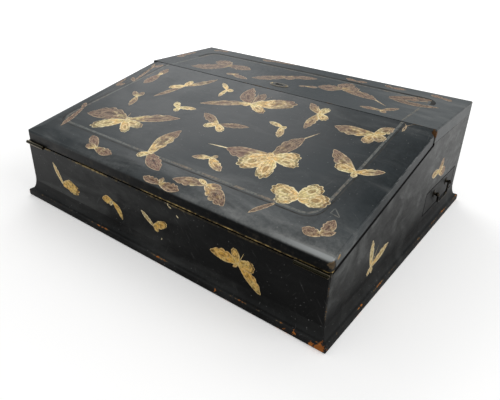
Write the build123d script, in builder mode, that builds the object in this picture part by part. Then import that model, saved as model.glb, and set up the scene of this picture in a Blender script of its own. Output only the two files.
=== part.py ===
"""A lacquered writing slope for a table top.

A dovetailed case with a low front, sloping sides and a narrow flat top at the back stands on
a coved base moulding.  The sloping lid is hinged along its front edge: it folds forward, and
its lined inside then carries on the slope as the writing surface.  A lock let in under the
flat top holds the lid's back edge.  A shallow drawer runs in from the right, under the flat
top, and is drawn by a small brass bail.  Behind the paper well, the shelf over the drawer
holds a pen tray between two ink compartments.

Millimetres.  +X is to the right, -Y is the front, where the writer sits, and +Z is up.  The
origin is on the table, under the middle of the case.
"""

import os
from math import asin, atan2, cos, degrees, sin, tan

from build123d import *

os.makedirs("parts", exist_ok=True)

# Case
case_width = 400.0
case_depth = 322.0
case_height = 130.0
wall = 11.0
board_thickness = 14.8  # the lid and the flat top
top_edge_radius = 1.5
bottom_thickness = 7.0
bottom_top = 25.2  # the floor of the well and of the drawer's bay, above the table
bottom_groove = 3.5

# Lid and slope
lid_front_height = 86.5  # the lid's upper face at the case's front, above the table
lid_run = 200.0  # level distance from the case's front to the joint with the flat top
lid_gap = 1.2  # open line between the lid and the walls, square to the slope
top_joint = 0.8  # open line between the lid and the flat top
lid_corner_radius = 4.0
shoulder_width = 18.0  # the lid's upper face falls away over this width at three edges
shoulder_drop = 2.2
shoulder_rim_radius = 1.8
chip_length = 5.0  # a lost corner at the lid's back right
chip_width = 4.5
lining_border = 24.0
lining_thickness = 1.2

# Dovetails of the case
front_tails = 3
back_tails = 4
tail_share = 0.7  # a tail's wide end, as a share of the pitch
tail_taper_share = 1 / 6  # each flank leans in by this share of the tail's length

# Base moulding
plinth_projection = 7.0
plinth_height = 20.0
plinth_nose = 8.5  # height of the rounded nose below the cove
plinth_nose_radius = 2.5
plinth_foot_radius = 1.5
plinth_feather = 0.6  # thickness left at the cove's upper edge

# Hinges
hinge_length = 31.0
hinge_inset = 0.5
barrel_radius = 1.9
barrel_clearance = 0.1
leaf_thickness = 1.1
leaf_play = 0.1  # from the hinge's middle plane to each leaf's inner face
leaf_reach = 10.2  # from the pin's axis to the leaf's far edge
middle_knuckle = 14.0
knuckle_play = 0.15
hinge_pin_radius = 0.8
hinge_pin_clearance = 0.05
hinge_pin_end = 0.4  # how far the pin stands out of its last knuckle
hinge_screw_spacing = 19.0
hinge_screw_margin = 3.8  # from the screws to the leaf's far edge

# Screws
screw_head_radius = 1.9
screw_head_height = 1.0
screw_shank_radius = 0.9
screw_length = 9.0

# Drawer
drawer_width = 94.0
drawer_height = 26.2
drawer_length = 250.0
drawer_clearance = 0.3
drawer_running_gap = 0.2
drawer_front_thickness = 10.0
drawer_side_thickness = 6.0
drawer_back_thickness = 6.0
drawer_bottom_thickness = 3.0
drawer_bottom_rise = 2.5
drawer_bottom_groove = 2.5
drawer_lap = 3.5  # wood left in front of the lapped tails
drawer_tails = 2
drawer_side_drop = 1.5  # sides and back are lower than the front by this much

# Drawer's bail
post_spacing = 41.0
post_rise = 17.3  # from the drawer's lower edge to the posts
post_stand_off = 4.3  # from the drawer's face to the bail's axis
post_ball_radius = 2.4
post_neck_radius = 1.7
rosette_radius = 4.6
rosette_thickness = 1.0
post_shank_radius = 1.4
nut_size = 6.0
nut_thickness = 2.0
bail_radius = 1.1
bail_bore_clearance = 0.06
bail_drop = 13.0
bail_end_depth = 1.6  # how far each end reaches into its post's ball
bail_arm_clearance = 0.5  # from a ball to the arm beside it
bail_corner_radius = 6.0

# Inside the case
bay_wall_thickness = 6.0
shelf_thickness = 6.0
guide_thickness = 2.7
guide_height = 20.0
stop_length = 8.0
stop_width = 40.0
stop_height = 10.0
ink_compartment_width = 56.5
divider_thickness = 5.0
divider_setback = 4.0  # behind the lid's rests
pen_tray_depth = 30.0
pen_tray_height = 12.0
pen_tray_setback = 3.0
pen_tray_clearance = 1.0
pen_groove_radius = 12.0
pen_groove_lift = 3.0  # the groove's axis above the tray's upper face
pen_groove_margin = 6.0
rest_reach = 3.0  # how far the lid's rests stand out under its back edge
rest_width = 14.0
rest_height = 12.0
rest_play = 0.2

# Lock
lock_width = 48.0
lock_depth = 30.0
lock_plate_thickness = 1.5
selvedge_height = 9.5
cap_side_margin = 5.0  # from the cap to the plate's ends
cap_back_margin = 0.5
cap_height = 6.5
cap_wall = 0.8
lock_fit = 0.2
bolt_width = 22.0
bolt_length = 26.0
bolt_thickness = 3.0
bolt_play = 0.1
bolt_throw = 5.0
key_pin_x = -5.0
key_pin_setback = 20.5
key_pin_radius = 1.0
key_pin_height = 12.0
key_room = 0.2  # round the key in the bolt
keyhole_radius = 2.6
keyhole_slot_width = 2.6
keyhole_slot_reach = 8.5  # from the key pin's axis to the slot's end
talon_length = 6.0  # the bolt's notch that the key's bit turns in
spring_thickness = 0.5
spring_width = 4.0
spring_foot = 3.0
spring_length = 20.0
spring_place = 7.0
spring_bend_radius = 3.0
lock_seat_margin = 2.0  # from the lock's plate to the rests beside it
lock_screw_inset = 2.5
lock_screw_front = 7.0
lock_screw_back = 6.0
strike_width = 40.0
strike_height = 6.0
strike_thickness = 1.0
strike_play = 0.2
strike_pocket_play = 1.0
strike_screw_inset = 4.0

# Escutcheon
escutcheon_length = 26.0
escutcheon_width = 13.0
escutcheon_thickness = 0.6
escutcheon_pin_inset = 2.8
escutcheon_pin_radius = 0.5
escutcheon_pin_head = 1.1
escutcheon_pin_length = 5.0

# Places worked out from the sizes above
x_side = case_width / 2
y_front = -case_depth / 2
y_back = case_depth / 2
x_inner = x_side - wall
y_inner_front = y_front + wall
y_inner_back = y_back - wall
y_joint = y_front + lid_run
y_lid_back = y_joint - top_joint
top_under = case_height - board_thickness
slope = atan2(case_height - lid_front_height, lid_run)
wall_depth = board_thickness + lid_gap  # from the lid's upper face to the walls' sloping tops
rest_depth = board_thickness + rest_play

y_guide = y_inner_back - guide_thickness
y_drawer_back = y_guide - drawer_clearance
y_drawer_front = y_drawer_back - drawer_width
y_drawer_middle = (y_drawer_front + y_drawer_back) / 2
z_drawer = bottom_top + drawer_running_gap
z_drawer_top = z_drawer + drawer_height
x_drawer_back = x_side - drawer_length
shelf_under = z_drawer_top + drawer_clearance
shelf_top = shelf_under + shelf_thickness
y_bay_back = y_drawer_front - drawer_clearance
y_bay_front = y_bay_back - bay_wall_thickness

divider_place = x_inner - ink_compartment_width - divider_thickness / 2
y_rest_front = y_joint - rest_reach
y_rest_back = y_rest_front + rest_width

y_key = y_joint + key_pin_setback
lock_floor = top_under + lock_plate_thickness
bolt_low = lock_floor + bolt_play
bolt_middle = bolt_low + bolt_thickness / 2
cap_top = lock_floor + cap_height
cap_width = lock_width - 2 * cap_side_margin
cap_depth = lock_depth - lock_plate_thickness - cap_back_margin

lid_face = Plane(
    origin=(0, y_front, lid_front_height),
    x_dir=(1, 0, 0),
    z_dir=(0, -sin(slope), cos(slope)),
)


def slope_height(y, depth=0.0):
    """Height above the table, at y, of the plane that lies depth below the lid's face."""
    return lid_front_height + (y - y_front) * tan(slope) - depth / cos(slope)


def save(builder, name):
    """Labels a finished piece and writes it."""
    builder.part.label = name
    export_step(builder.part, f"parts/{name}.step")


def tail_row(end, root, low, high, count):
    """Outlines of a row of dovetails between two heights: wide at end, narrow at root."""
    pitch = (high - low) / count
    half_end = pitch * tail_share / 2
    half_root = half_end - abs(root - end) * tail_taper_share
    with BuildSketch() as tails:
        for index in range(count):
            middle = low + (index + 0.5) * pitch
            with BuildLine():
                Polyline(
                    (end, middle - half_end),
                    (root, middle - half_root),
                    (root, middle + half_root),
                    (end, middle + half_end),
                    close=True,
                )
            make_face()
    return tails.sketch


def cut_bottom_groove():
    """Takes the bottom board's place out of the wall in hand."""
    with Locations((0, 0, bottom_top - bottom_thickness / 2)):
        Box(
            2 * (x_inner + bottom_groove),
            2 * (y_inner_back + bottom_groove),
            bottom_thickness,
            mode=Mode.SUBTRACT,
        )


# A countersunk screw, which is also the place that it takes
with BuildPart() as wood_screw:
    with BuildSketch(Plane.XZ):
        with BuildLine():
            Polyline(
                (0, 0),
                (screw_head_radius, 0),
                (screw_shank_radius, -screw_head_height),
                (screw_shank_radius, -screw_length),
                (0, -screw_length),
                close=True,
            )
        make_face()
    revolve(axis=Axis.Z)
screw = wood_screw.part


def hinge_plane(side):
    """The hinge's middle plane at one end of the case, square to the pin's axis in x."""
    y_pin = y_front - barrel_radius - barrel_clearance
    return Plane(
        origin=(
            side * (x_side - hinge_inset - hinge_length / 2),
            y_pin,
            slope_height(y_pin, board_thickness + lid_gap / 2),
        ),
        x_dir=(1, 0, 0),
        z_dir=(0, -sin(slope), cos(slope)),
    )


def hinge_screw_places(side, leaf):
    """Places of the screws of one leaf, turned so that they run into its wood."""
    turn = (180, 0, 0) if leaf > 0 else (0, 0, 0)
    return [
        hinge_plane(side).location
        * Location((x, leaf_reach - hinge_screw_margin, leaf * leaf_play), turn)
        for x in (-hinge_screw_spacing / 2, hinge_screw_spacing / 2)
    ]


def cut_hinge_leaf(side, leaf):
    """Takes the place of one leaf and of its screws out of the wood in hand."""
    place = hinge_plane(side).location
    middle = leaf * (leaf_play + leaf_thickness / 2)
    with Locations(place * Location((0, leaf_reach / 2, middle))):
        Box(hinge_length, leaf_reach, leaf_thickness, mode=Mode.SUBTRACT)
    with Locations(*hinge_screw_places(side, leaf)):
        add(screw, mode=Mode.SUBTRACT)


# Front board
with BuildPart() as front_board:
    with BuildSketch(Plane.YZ.offset(-x_side)):
        with BuildLine():
            Polyline(
                (y_front, 0),
                (y_front, slope_height(y_front, wall_depth)),
                (y_inner_front, slope_height(y_inner_front, wall_depth)),
                (y_inner_front, 0),
                close=True,
            )
        make_face()
    extrude(amount=case_width)
    front_top = slope_height(y_front, wall_depth)
    for x_low in (-x_side, x_inner):
        with BuildSketch(Plane.YZ.offset(x_low)):
            add(tail_row(y_front, y_inner_front, 0, front_top, front_tails))
        extrude(amount=wall, mode=Mode.SUBTRACT)
    cut_bottom_groove()
    for side in (-1, 1):
        cut_hinge_leaf(side, -1)
save(front_board, "front_board")

# Back board
with BuildPart() as back_board:
    with BuildSketch(Plane.YZ.offset(-x_side)):
        with BuildLine():
            Polyline(
                (y_inner_back, 0),
                (y_inner_back, top_under),
                (y_back, top_under),
                (y_back, 0),
                close=True,
            )
        make_face()
    extrude(amount=case_width)
    for x_low in (-x_side, x_inner):
        with BuildSketch(Plane.YZ.offset(x_low)):
            add(tail_row(y_back, y_inner_back, 0, top_under, back_tails))
        extrude(amount=wall, mode=Mode.SUBTRACT)
    cut_bottom_groove()
save(back_board, "back_board")

# Sides
for side, name in ((-1, "left_side"), (1, "right_side")):
    with BuildPart() as side_board:
        x_low = min(side * x_side, side * x_inner)
        with BuildSketch(Plane.YZ.offset(x_low)):
            with BuildLine():
                Polyline(
                    (y_inner_front, 0),
                    (y_inner_front, slope_height(y_inner_front, wall_depth)),
                    (y_joint, slope_height(y_joint, wall_depth)),
                    (y_joint, top_under),
                    (y_inner_back, top_under),
                    (y_inner_back, 0),
                    close=True,
                )
            make_face()
            add(tail_row(y_front, y_inner_front, 0, front_top, front_tails))
            add(tail_row(y_back, y_inner_back, 0, top_under, back_tails))
        extrude(amount=wall)
        cut_bottom_groove()
        cut_hinge_leaf(side, -1)
        if side > 0:
            with BuildSketch(Plane.YZ.offset(x_low)):
                with Locations((y_drawer_middle, (bottom_top + shelf_under) / 2)):
                    Rectangle(drawer_width + 2 * drawer_clearance, shelf_under - bottom_top)
            extrude(amount=wall, mode=Mode.SUBTRACT)
    save(side_board, name)

# Bottom board
with BuildPart() as bottom_board:
    with BuildSketch(Plane.XY.offset(bottom_top - bottom_thickness)):
        Rectangle(2 * (x_inner + bottom_groove), 2 * (y_inner_back + bottom_groove))
    extrude(amount=bottom_thickness)
save(bottom_board, "bottom_board")


def keyhole_outline():
    """Adds the keyhole to the sketch in hand: a round eye on the key pin, and its slot."""
    with Locations((key_pin_x, y_key)):
        Circle(keyhole_radius)
    slot_reach = keyhole_slot_reach - keyhole_slot_width / 2
    with Locations((key_pin_x + slot_reach / 2, y_key)):
        Rectangle(slot_reach, keyhole_slot_width)
    with Locations((key_pin_x + slot_reach, y_key)):
        Circle(keyhole_slot_width / 2)


def lock_screw_places():
    """Places of the lock's screws, which run up into the top board."""
    x_screw = lock_width / 2 - lock_screw_inset
    return [
        Location((x, y_joint + row, top_under), (180, 0, 0))
        for x in (-x_screw, x_screw)
        for row in (lock_screw_front, lock_depth - lock_screw_back)
    ]


escutcheon_middle = key_pin_x + (keyhole_slot_reach - keyhole_radius) / 2
escutcheon_pin_reach = escutcheon_length / 2 - escutcheon_pin_inset
escutcheon_pin_places = [
    (escutcheon_middle + side * escutcheon_pin_reach, y_key) for side in (-1, 1)
]

# Top board, with the lock's seat under it
with BuildPart() as top_board:
    with BuildSketch(Plane.XY.offset(top_under)):
        with Locations((0, (y_joint + y_back) / 2)):
            Rectangle(case_width, y_back - y_joint)
    extrude(amount=board_thickness)
    upper_edges = top_board.faces().sort_by(Axis.Z)[-1].edges().sort_by(Axis.Y)[1:]
    corner_edges = top_board.edges().filter_by(Axis.Z).sort_by(Axis.Y)[-2:]
    fillet(upper_edges + corner_edges, radius=top_edge_radius)
    with Locations((0, y_joint + lock_depth / 2, top_under + lock_plate_thickness / 2)):
        Box(lock_width, lock_depth, lock_plate_thickness, mode=Mode.SUBTRACT)
    with Locations((0, y_joint + lock_plate_thickness / 2, top_under + selvedge_height / 2)):
        Box(lock_width, lock_plate_thickness, selvedge_height, mode=Mode.SUBTRACT)
    seat_depth = lock_plate_thickness + cap_depth + lock_fit
    seat_height = lock_plate_thickness + cap_height + lock_fit
    with Locations((0, y_joint + seat_depth / 2, top_under + seat_height / 2)):
        Box(cap_width + 2 * lock_fit, seat_depth, seat_height, mode=Mode.SUBTRACT)
    with BuildSketch(Plane.XY.offset(case_height)):
        keyhole_outline()
    extrude(amount=-board_thickness, mode=Mode.SUBTRACT)
    with Locations(*lock_screw_places()):
        add(screw, mode=Mode.SUBTRACT)
    with Locations(*[(x, y, case_height) for x, y in escutcheon_pin_places]):
        Hole(escutcheon_pin_radius, depth=escutcheon_pin_length)
save(top_board, "top_board")


def plinth_outline(outward):
    """The moulding's section, with x level, y upright and the case's face at x 0.

    outward is the sign of the x that points away from the case.
    """
    nose = plinth_projection
    with BuildSketch() as outline:
        with BuildLine():
            foot = Line((0, 0), (outward * (nose - plinth_foot_radius), 0))
            toe = TangentArc(
                foot @ 1, (outward * nose, plinth_foot_radius), tangent=(outward, 0)
            )
            front = Line(toe @ 1, (outward * nose, plinth_nose - plinth_nose_radius))
            brow = TangentArc(
                front @ 1, (outward * (nose - plinth_nose_radius), plinth_nose), tangent=(0, 1)
            )
            crest = (outward * plinth_feather, plinth_height)
            TangentArc(crest, brow @ 1, tangent=(0, -1))
            Line(crest, (0, plinth_height))
            Line((0, plinth_height), (0, 0))
        make_face()
    return outline.sketch


# Base moulding, mitred at the corners
plinths = (
    ("plinth_front", (-x_side, y_front), (0, 1, 0), (1, 0, 0), case_width, -1),
    ("plinth_back", (-x_side, y_back), (0, 1, 0), (1, 0, 0), case_width, 1),
    ("plinth_left", (-x_side, y_back), (1, 0, 0), (0, -1, 0), case_depth, -1),
    ("plinth_right", (x_side, y_back), (1, 0, 0), (0, -1, 0), case_depth, 1),
)
for name, corner, x_dir, run, length, outward in plinths:
    start = Plane(origin=(*corner, 0), x_dir=x_dir, z_dir=run)
    with BuildPart() as plinth:
        with BuildSketch(start.offset(-plinth_projection)):
            add(plinth_outline(outward))
        extrude(amount=length + 2 * plinth_projection)
        for end, along in ((0, -1), (length, 1)):
            mitre = Plane(
                origin=start.origin + start.z_dir * end,
                z_dir=start.z_dir * along - start.x_dir * outward,
            )
            split(bisect_by=mitre, keep=Keep.BOTTOM)
    save(plinth, name)

# Drawer's bay: wall, shelf, guide and stop
with BuildPart() as bay_wall:
    with BuildSketch(Plane.XY.offset(bottom_top)):
        with Locations((0, (y_bay_front + y_bay_back) / 2)):
            Rectangle(2 * x_inner, bay_wall_thickness)
    extrude(amount=shelf_under - bottom_top)
save(bay_wall, "drawer_bay_wall")

with BuildPart() as shelf:
    with BuildSketch(Plane.XY.offset(shelf_under)):
        with Locations((0, (y_bay_front + y_inner_back) / 2)):
            Rectangle(2 * x_inner, y_inner_back - y_bay_front)
    extrude(amount=shelf_thickness)
save(shelf, "shelf")

with BuildPart() as guide:
    with BuildSketch(Plane.XY.offset(bottom_top)):
        with Locations(((x_drawer_back + x_inner) / 2, y_guide + guide_thickness / 2)):
            Rectangle(x_inner - x_drawer_back, guide_thickness)
    extrude(amount=guide_height)
save(guide, "drawer_guide")

with BuildPart() as stop_block:
    with BuildSketch(Plane.XY.offset(bottom_top)):
        x_stop = x_drawer_back - drawer_clearance - stop_length / 2
        with Locations((x_stop, y_drawer_middle)):
            Rectangle(stop_length, stop_width)
    extrude(amount=stop_height)
save(stop_block, "drawer_stop")

# Rests under the lid's back edge, one each side of the lock
for side, name in ((-1, "lid_rest_left"), (1, "lid_rest_right")):
    with BuildPart() as lid_rest:
        x_near = lock_width / 2 + lock_seat_margin
        with BuildSketch(Plane.YZ.offset(side * x_near)):
            with BuildLine():
                Polyline(
                    (y_rest_front, top_under - rest_height),
                    (y_rest_front, slope_height(y_rest_front, rest_depth)),
                    (y_joint, slope_height(y_joint, rest_depth)),
                    (y_joint, top_under),
                    (y_rest_back, top_under),
                    (y_rest_back, top_under - rest_height),
                    close=True,
                )
            make_face()
        extrude(amount=side * (x_inner - x_near))
    save(lid_rest, name)

# Ink compartments and pen tray
for side, name in ((-1, "ink_divider_left"), (1, "ink_divider_right")):
    with BuildPart() as divider:
        with BuildSketch(Plane.XY.offset(shelf_top)):
            y_near = max(y_rest_back, y_bay_front) + divider_setback
            with Locations((side * divider_place, (y_near + y_inner_back) / 2)):
                Rectangle(divider_thickness, y_inner_back - y_near)
        extrude(amount=top_under - shelf_top)
    save(divider, name)

with BuildPart() as pen_tray:
    tray_length = 2 * (divider_place - divider_thickness / 2 - pen_tray_clearance)
    tray_top = shelf_top + pen_tray_height
    y_tray = y_bay_front + pen_tray_setback + pen_tray_depth / 2
    with BuildSketch(Plane.XY.offset(shelf_top)):
        with Locations((0, y_tray)):
            Rectangle(tray_length, pen_tray_depth)
    extrude(amount=pen_tray_height)
    groove_straight = tray_length - 2 * (pen_groove_radius + pen_groove_margin)
    with Locations((0, y_tray, tray_top + pen_groove_lift)):
        Cylinder(
            pen_groove_radius,
            groove_straight,
            rotation=(0, 90, 0),
            mode=Mode.SUBTRACT,
        )
    with Locations(
        (-groove_straight / 2, y_tray, tray_top + pen_groove_lift),
        (groove_straight / 2, y_tray, tray_top + pen_groove_lift),
    ):
        Sphere(pen_groove_radius, mode=Mode.SUBTRACT)
save(pen_tray, "pen_tray")

# Lid
strike_middle = Plane(origin=(0, y_lid_back, bolt_middle), x_dir=(1, 0, 0), z_dir=(0, 1, 0))
strike_screw_reach = strike_width / 2 - strike_screw_inset
strike_screw_places = [
    strike_middle.location * Location((side * strike_screw_reach, 0, 0)) for side in (-1, 1)
]
strike_hole = (bolt_width + 2 * strike_play, bolt_thickness + 2 * strike_play)
lining_plane = Plane(
    origin=(0, y_front, slope_height(y_front, board_thickness)),
    x_dir=(1, 0, 0),
    z_dir=lid_face.z_dir * -1,
)
lid_length = lid_run / cos(slope)


def lining_outline():
    """Adds the lining's outline to the sketch in hand, on the lid's lower face."""
    with Locations((0, -lid_length / 2)):
        Rectangle(case_width - 2 * lining_border, lid_length - 2 * lining_border)


def rolled_edge(rim, inward, lean):
    """What the roll takes off an edge: the upper face is y 0, and x is rim at its edge.

    inward is the sign of the x that points over the lid, and lean the side face's slant.
    """
    ease = shoulder_rim_radius
    foot = shoulder_drop + ease
    with BuildSketch() as offcut:
        with BuildLine():
            roll = TangentArc(
                (rim + inward * shoulder_width, 0),
                (rim + inward * ease, -shoulder_drop),
                tangent=(-inward, 0),
            )
            nose = TangentArc(
                roll @ 1, (rim - inward * foot * lean, -foot), tangent=roll % 1
            )
            Polyline(
                nose @ 1,
                (rim - inward * foot, -foot),
                (rim - inward * foot, foot),
                (rim + inward * shoulder_width, foot),
                roll @ 0,
            )
        make_face()
    return offcut.sketch


with BuildPart() as lid_board:
    with BuildSketch(Plane.YZ.offset(-x_side)):
        with BuildLine():
            Polyline(
                (y_front, slope_height(y_front)),
                (y_lid_back, slope_height(y_lid_back)),
                (y_lid_back, slope_height(y_lid_back, board_thickness)),
                (y_front, slope_height(y_front, board_thickness)),
                close=True,
            )
        make_face()
    extrude(amount=case_width)
    fillet(
        lid_board.edges().filter_by(Axis.Z).sort_by(Axis.Y)[:2],
        radius=lid_corner_radius,
    )
    # The upper face rolls down to an eased rim at the front and at both sides
    cut = 2 * case_width
    across = Plane(origin=lid_face.origin, x_dir=(1, 0, 0), z_dir=-lid_face.y_dir)
    for side in (-1, 1):
        with BuildSketch(across):
            add(rolled_edge(side * x_side, -side, 0))
        extrude(amount=cut, both=True, mode=Mode.SUBTRACT)
    along = Plane(origin=lid_face.origin, x_dir=lid_face.y_dir, z_dir=(1, 0, 0))
    with BuildSketch(along):
        add(rolled_edge(0, 1, tan(slope)))
    extrude(amount=cut, both=True, mode=Mode.SUBTRACT)
    # Seat for the lining, hinges, strike and the bolt's pocket
    with BuildSketch(lining_plane):
        lining_outline()
    extrude(amount=-lining_thickness, mode=Mode.SUBTRACT)
    for side in (-1, 1):
        cut_hinge_leaf(side, 1)
    with BuildSketch(strike_middle):
        Rectangle(strike_width, strike_height)
    extrude(amount=-strike_thickness, mode=Mode.SUBTRACT)
    with BuildSketch(strike_middle):
        Rectangle(*strike_hole)
    extrude(amount=-bolt_throw - strike_pocket_play, mode=Mode.SUBTRACT)
    with Locations(*strike_screw_places):
        add(screw, mode=Mode.SUBTRACT)
    # The lost corner
    with BuildSketch(Plane.XY.offset(top_under - board_thickness)):
        with BuildLine():
            Polyline(
                (x_side, y_lid_back - chip_length),
                (x_side - chip_width, y_lid_back),
                (x_side, y_lid_back),
                close=True,
            )
        make_face()
    extrude(amount=3 * board_thickness, mode=Mode.SUBTRACT)
save(lid_board, "lid_board")

with BuildPart() as lining:
    with BuildSketch(lining_plane):
        lining_outline()
    extrude(amount=-lining_thickness)
save(lining, "lid_lining")

# Strike plate in the lid's back edge
with BuildPart() as strike_plate:
    with BuildSketch(strike_middle):
        Rectangle(strike_width, strike_height)
        Rectangle(*strike_hole, mode=Mode.SUBTRACT)
    extrude(amount=-strike_thickness)
    with Locations(*strike_screw_places):
        add(screw, mode=Mode.SUBTRACT)
save(strike_plate, "strike_plate")

with BuildPart() as strike_screws:
    with Locations(*strike_screw_places):
        add(screw)
save(strike_screws, "strike_screws")

# Lock
with BuildPart() as lock_plate:
    with Locations((0, y_joint + lock_depth / 2, top_under + lock_plate_thickness / 2)):
        Box(lock_width, lock_depth, lock_plate_thickness)
    with Locations((0, y_joint + lock_plate_thickness / 2, top_under + selvedge_height / 2)):
        Box(lock_width, lock_plate_thickness, selvedge_height)
    with Locations((0, y_joint + lock_plate_thickness / 2, bolt_middle)):
        Box(
            bolt_width + 2 * bolt_play,
            lock_plate_thickness,
            bolt_thickness + 2 * bolt_play,
            mode=Mode.SUBTRACT,
        )
    with Locations(*lock_screw_places()):
        add(screw, mode=Mode.SUBTRACT)
save(lock_plate, "lock_plate")

y_cap = y_joint + lock_plate_thickness
with BuildPart() as lock_cap:
    with Locations((0, y_cap + cap_depth / 2, lock_floor + cap_height / 2)):
        Box(cap_width, cap_depth, cap_height)
    with Locations((0, y_cap + (cap_depth - cap_wall) / 2, lock_floor + (cap_height - cap_wall) / 2)):
        Box(
            cap_width - 2 * cap_wall,
            cap_depth - cap_wall,
            cap_height - cap_wall,
            mode=Mode.SUBTRACT,
        )
    with BuildSketch(Plane.XY.offset(cap_top)):
        keyhole_outline()
    extrude(amount=-cap_wall, mode=Mode.SUBTRACT)
save(lock_cap, "lock_cap")

with BuildPart() as key_pin:
    with BuildSketch(Plane.XY.offset(lock_floor)):
        with Locations((key_pin_x, y_key)):
            Circle(key_pin_radius)
    extrude(amount=key_pin_height - lock_plate_thickness)
save(key_pin, "lock_key_pin")

with BuildPart() as lock_bolt:
    y_tail = y_joint + bolt_length
    y_fork = y_key - keyhole_radius - key_room
    talon_reach = keyhole_slot_reach + key_room
    with BuildSketch(Plane.XY.offset(bolt_low)):
        with Locations((0, y_joint + bolt_length / 2)):
            Rectangle(bolt_width, bolt_length)
        with Locations((key_pin_x, (y_fork + y_tail) / 2)):
            Rectangle(2 * (keyhole_radius + key_room), y_tail - y_fork, mode=Mode.SUBTRACT)
        with Locations((key_pin_x + talon_reach / 2, y_key)):
            Rectangle(talon_reach, talon_length, mode=Mode.SUBTRACT)
    extrude(amount=bolt_thickness)
save(lock_bolt, "lock_bolt")

with BuildPart() as lock_spring:
    z_foot = cap_top - cap_wall - spring_thickness / 2
    z_bow = bolt_low + bolt_thickness + bolt_play + spring_thickness / 2
    y_spring = y_cap + (cap_depth - spring_length) / 2
    y_spring_end = y_spring + spring_length
    with BuildSketch(Plane.YZ.offset(spring_place - spring_width / 2)):
        with BuildLine():
            FilletPolyline(
                (y_spring, z_foot),
                (y_spring + spring_foot, z_foot),
                ((y_spring + y_spring_end) / 2, z_bow),
                (y_spring_end - spring_foot, z_foot),
                (y_spring_end, z_foot),
                radius=spring_bend_radius,
            )
        trace(line_width=spring_thickness)
    extrude(amount=spring_width)
save(lock_spring, "lock_spring")

with BuildPart() as lock_screws:
    with Locations(*lock_screw_places()):
        add(screw)
save(lock_screws, "lock_screws")

# Escutcheon and its pins
with BuildPart() as escutcheon:
    with BuildSketch(Plane.XY.offset(case_height)):
        with Locations((escutcheon_middle, y_key)):
            Ellipse(escutcheon_length / 2, escutcheon_width / 2)
    extrude(amount=escutcheon_thickness)
    with BuildSketch(Plane.XY.offset(case_height)):
        keyhole_outline()
    extrude(amount=escutcheon_thickness, mode=Mode.SUBTRACT)
    with Locations(*[(x, y, case_height + escutcheon_thickness) for x, y in escutcheon_pin_places]):
        Hole(escutcheon_pin_radius, depth=escutcheon_thickness)
save(escutcheon, "escutcheon")

with BuildPart() as escutcheon_pins:
    for x, y in escutcheon_pin_places:
        head = Plane.XY.offset(case_height + escutcheon_thickness)
        with BuildSketch(head):
            with Locations((x, y)):
                Circle(escutcheon_pin_head)
        extrude(amount=escutcheon_pin_radius, taper=30)
        with BuildSketch(head):
            with Locations((x, y)):
                Circle(escutcheon_pin_radius)
        extrude(amount=-escutcheon_pin_length)
save(escutcheon_pins, "escutcheon_pins")

# Hinges
outer_knuckle = (hinge_length - middle_knuckle) / 2


def hinge_leaf(side, leaf):
    """One leaf of a hinge: leaf is -1 for the case's and 1 for the lid's."""
    place = hinge_plane(side)
    outer_middle = (middle_knuckle + outer_knuckle) / 2
    own = [0.0] if leaf > 0 else [-outer_middle, outer_middle]
    others = [-outer_middle, outer_middle] if leaf > 0 else [0.0]
    own_length = middle_knuckle if leaf > 0 else outer_knuckle
    others_length = outer_knuckle if leaf > 0 else middle_knuckle
    reach = barrel_radius + knuckle_play
    with BuildPart() as plate:
        with BuildSketch(place.offset(leaf * leaf_play)):
            with Locations((0, leaf_reach / 2)):
                Rectangle(hinge_length, leaf_reach)
            with Locations(*[(x, reach / 2) for x in others]):
                Rectangle(others_length + 2 * knuckle_play, reach, mode=Mode.SUBTRACT)
        extrude(amount=leaf * leaf_thickness)
        with Locations(*[place.location * Location((x, 0, 0), (0, 90, 0)) for x in own]):
            Cylinder(barrel_radius, own_length)
        with Locations(place.location * Location((0, 0, 0), (0, 90, 0))):
            Cylinder(
                hinge_pin_radius + hinge_pin_clearance, 2 * hinge_length, mode=Mode.SUBTRACT
            )
        with Locations(*hinge_screw_places(side, leaf)):
            add(screw, mode=Mode.SUBTRACT)
    return plate


for side, end in ((-1, "left"), (1, "right")):
    save(hinge_leaf(side, -1), f"hinge_{end}_case_leaf")
    save(hinge_leaf(side, 1), f"hinge_{end}_lid_leaf")
    with BuildPart() as hinge_pin:
        with Locations(hinge_plane(side).location * Location((0, 0, 0), (0, 90, 0))):
            Cylinder(hinge_pin_radius, hinge_length + 2 * hinge_pin_end)
    save(hinge_pin, f"hinge_{end}_pin")

for leaf, name in ((-1, "hinge_case_screws"), (1, "hinge_lid_screws")):
    with BuildPart() as hinge_screws:
        with Locations(*(hinge_screw_places(-1, leaf) + hinge_screw_places(1, leaf))):
            add(screw)
    save(hinge_screws, name)

# Drawer
x_face_back = x_side - drawer_front_thickness
x_tail_end = x_side - drawer_lap
x_back_inner = x_drawer_back + drawer_back_thickness
z_side_top = z_drawer_top - drawer_side_drop
z_panel = z_drawer + drawer_bottom_rise
z_panel_top = z_panel + drawer_bottom_thickness
panel_half = drawer_width / 2 - drawer_side_thickness + drawer_bottom_groove


def cut_drawer_groove():
    """Takes the drawer bottom's place out of the board in hand."""
    x_far = x_face_back + drawer_bottom_groove
    with Locations(((x_drawer_back + x_far) / 2, y_drawer_middle, (z_panel + z_panel_top) / 2)):
        Box(
            x_far - x_drawer_back,
            2 * panel_half,
            drawer_bottom_thickness,
            mode=Mode.SUBTRACT,
        )


def drawer_side_planes():
    """Upright planes on the near face of each drawer side, looking back along -Y."""
    return [
        Plane.XZ.offset(-(y_drawer_front + drawer_side_thickness)),
        Plane.XZ.offset(-y_drawer_back),
    ]


post_places = [
    (y_drawer_middle + side * post_spacing / 2, z_drawer + post_rise) for side in (-1, 1)
]

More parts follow.
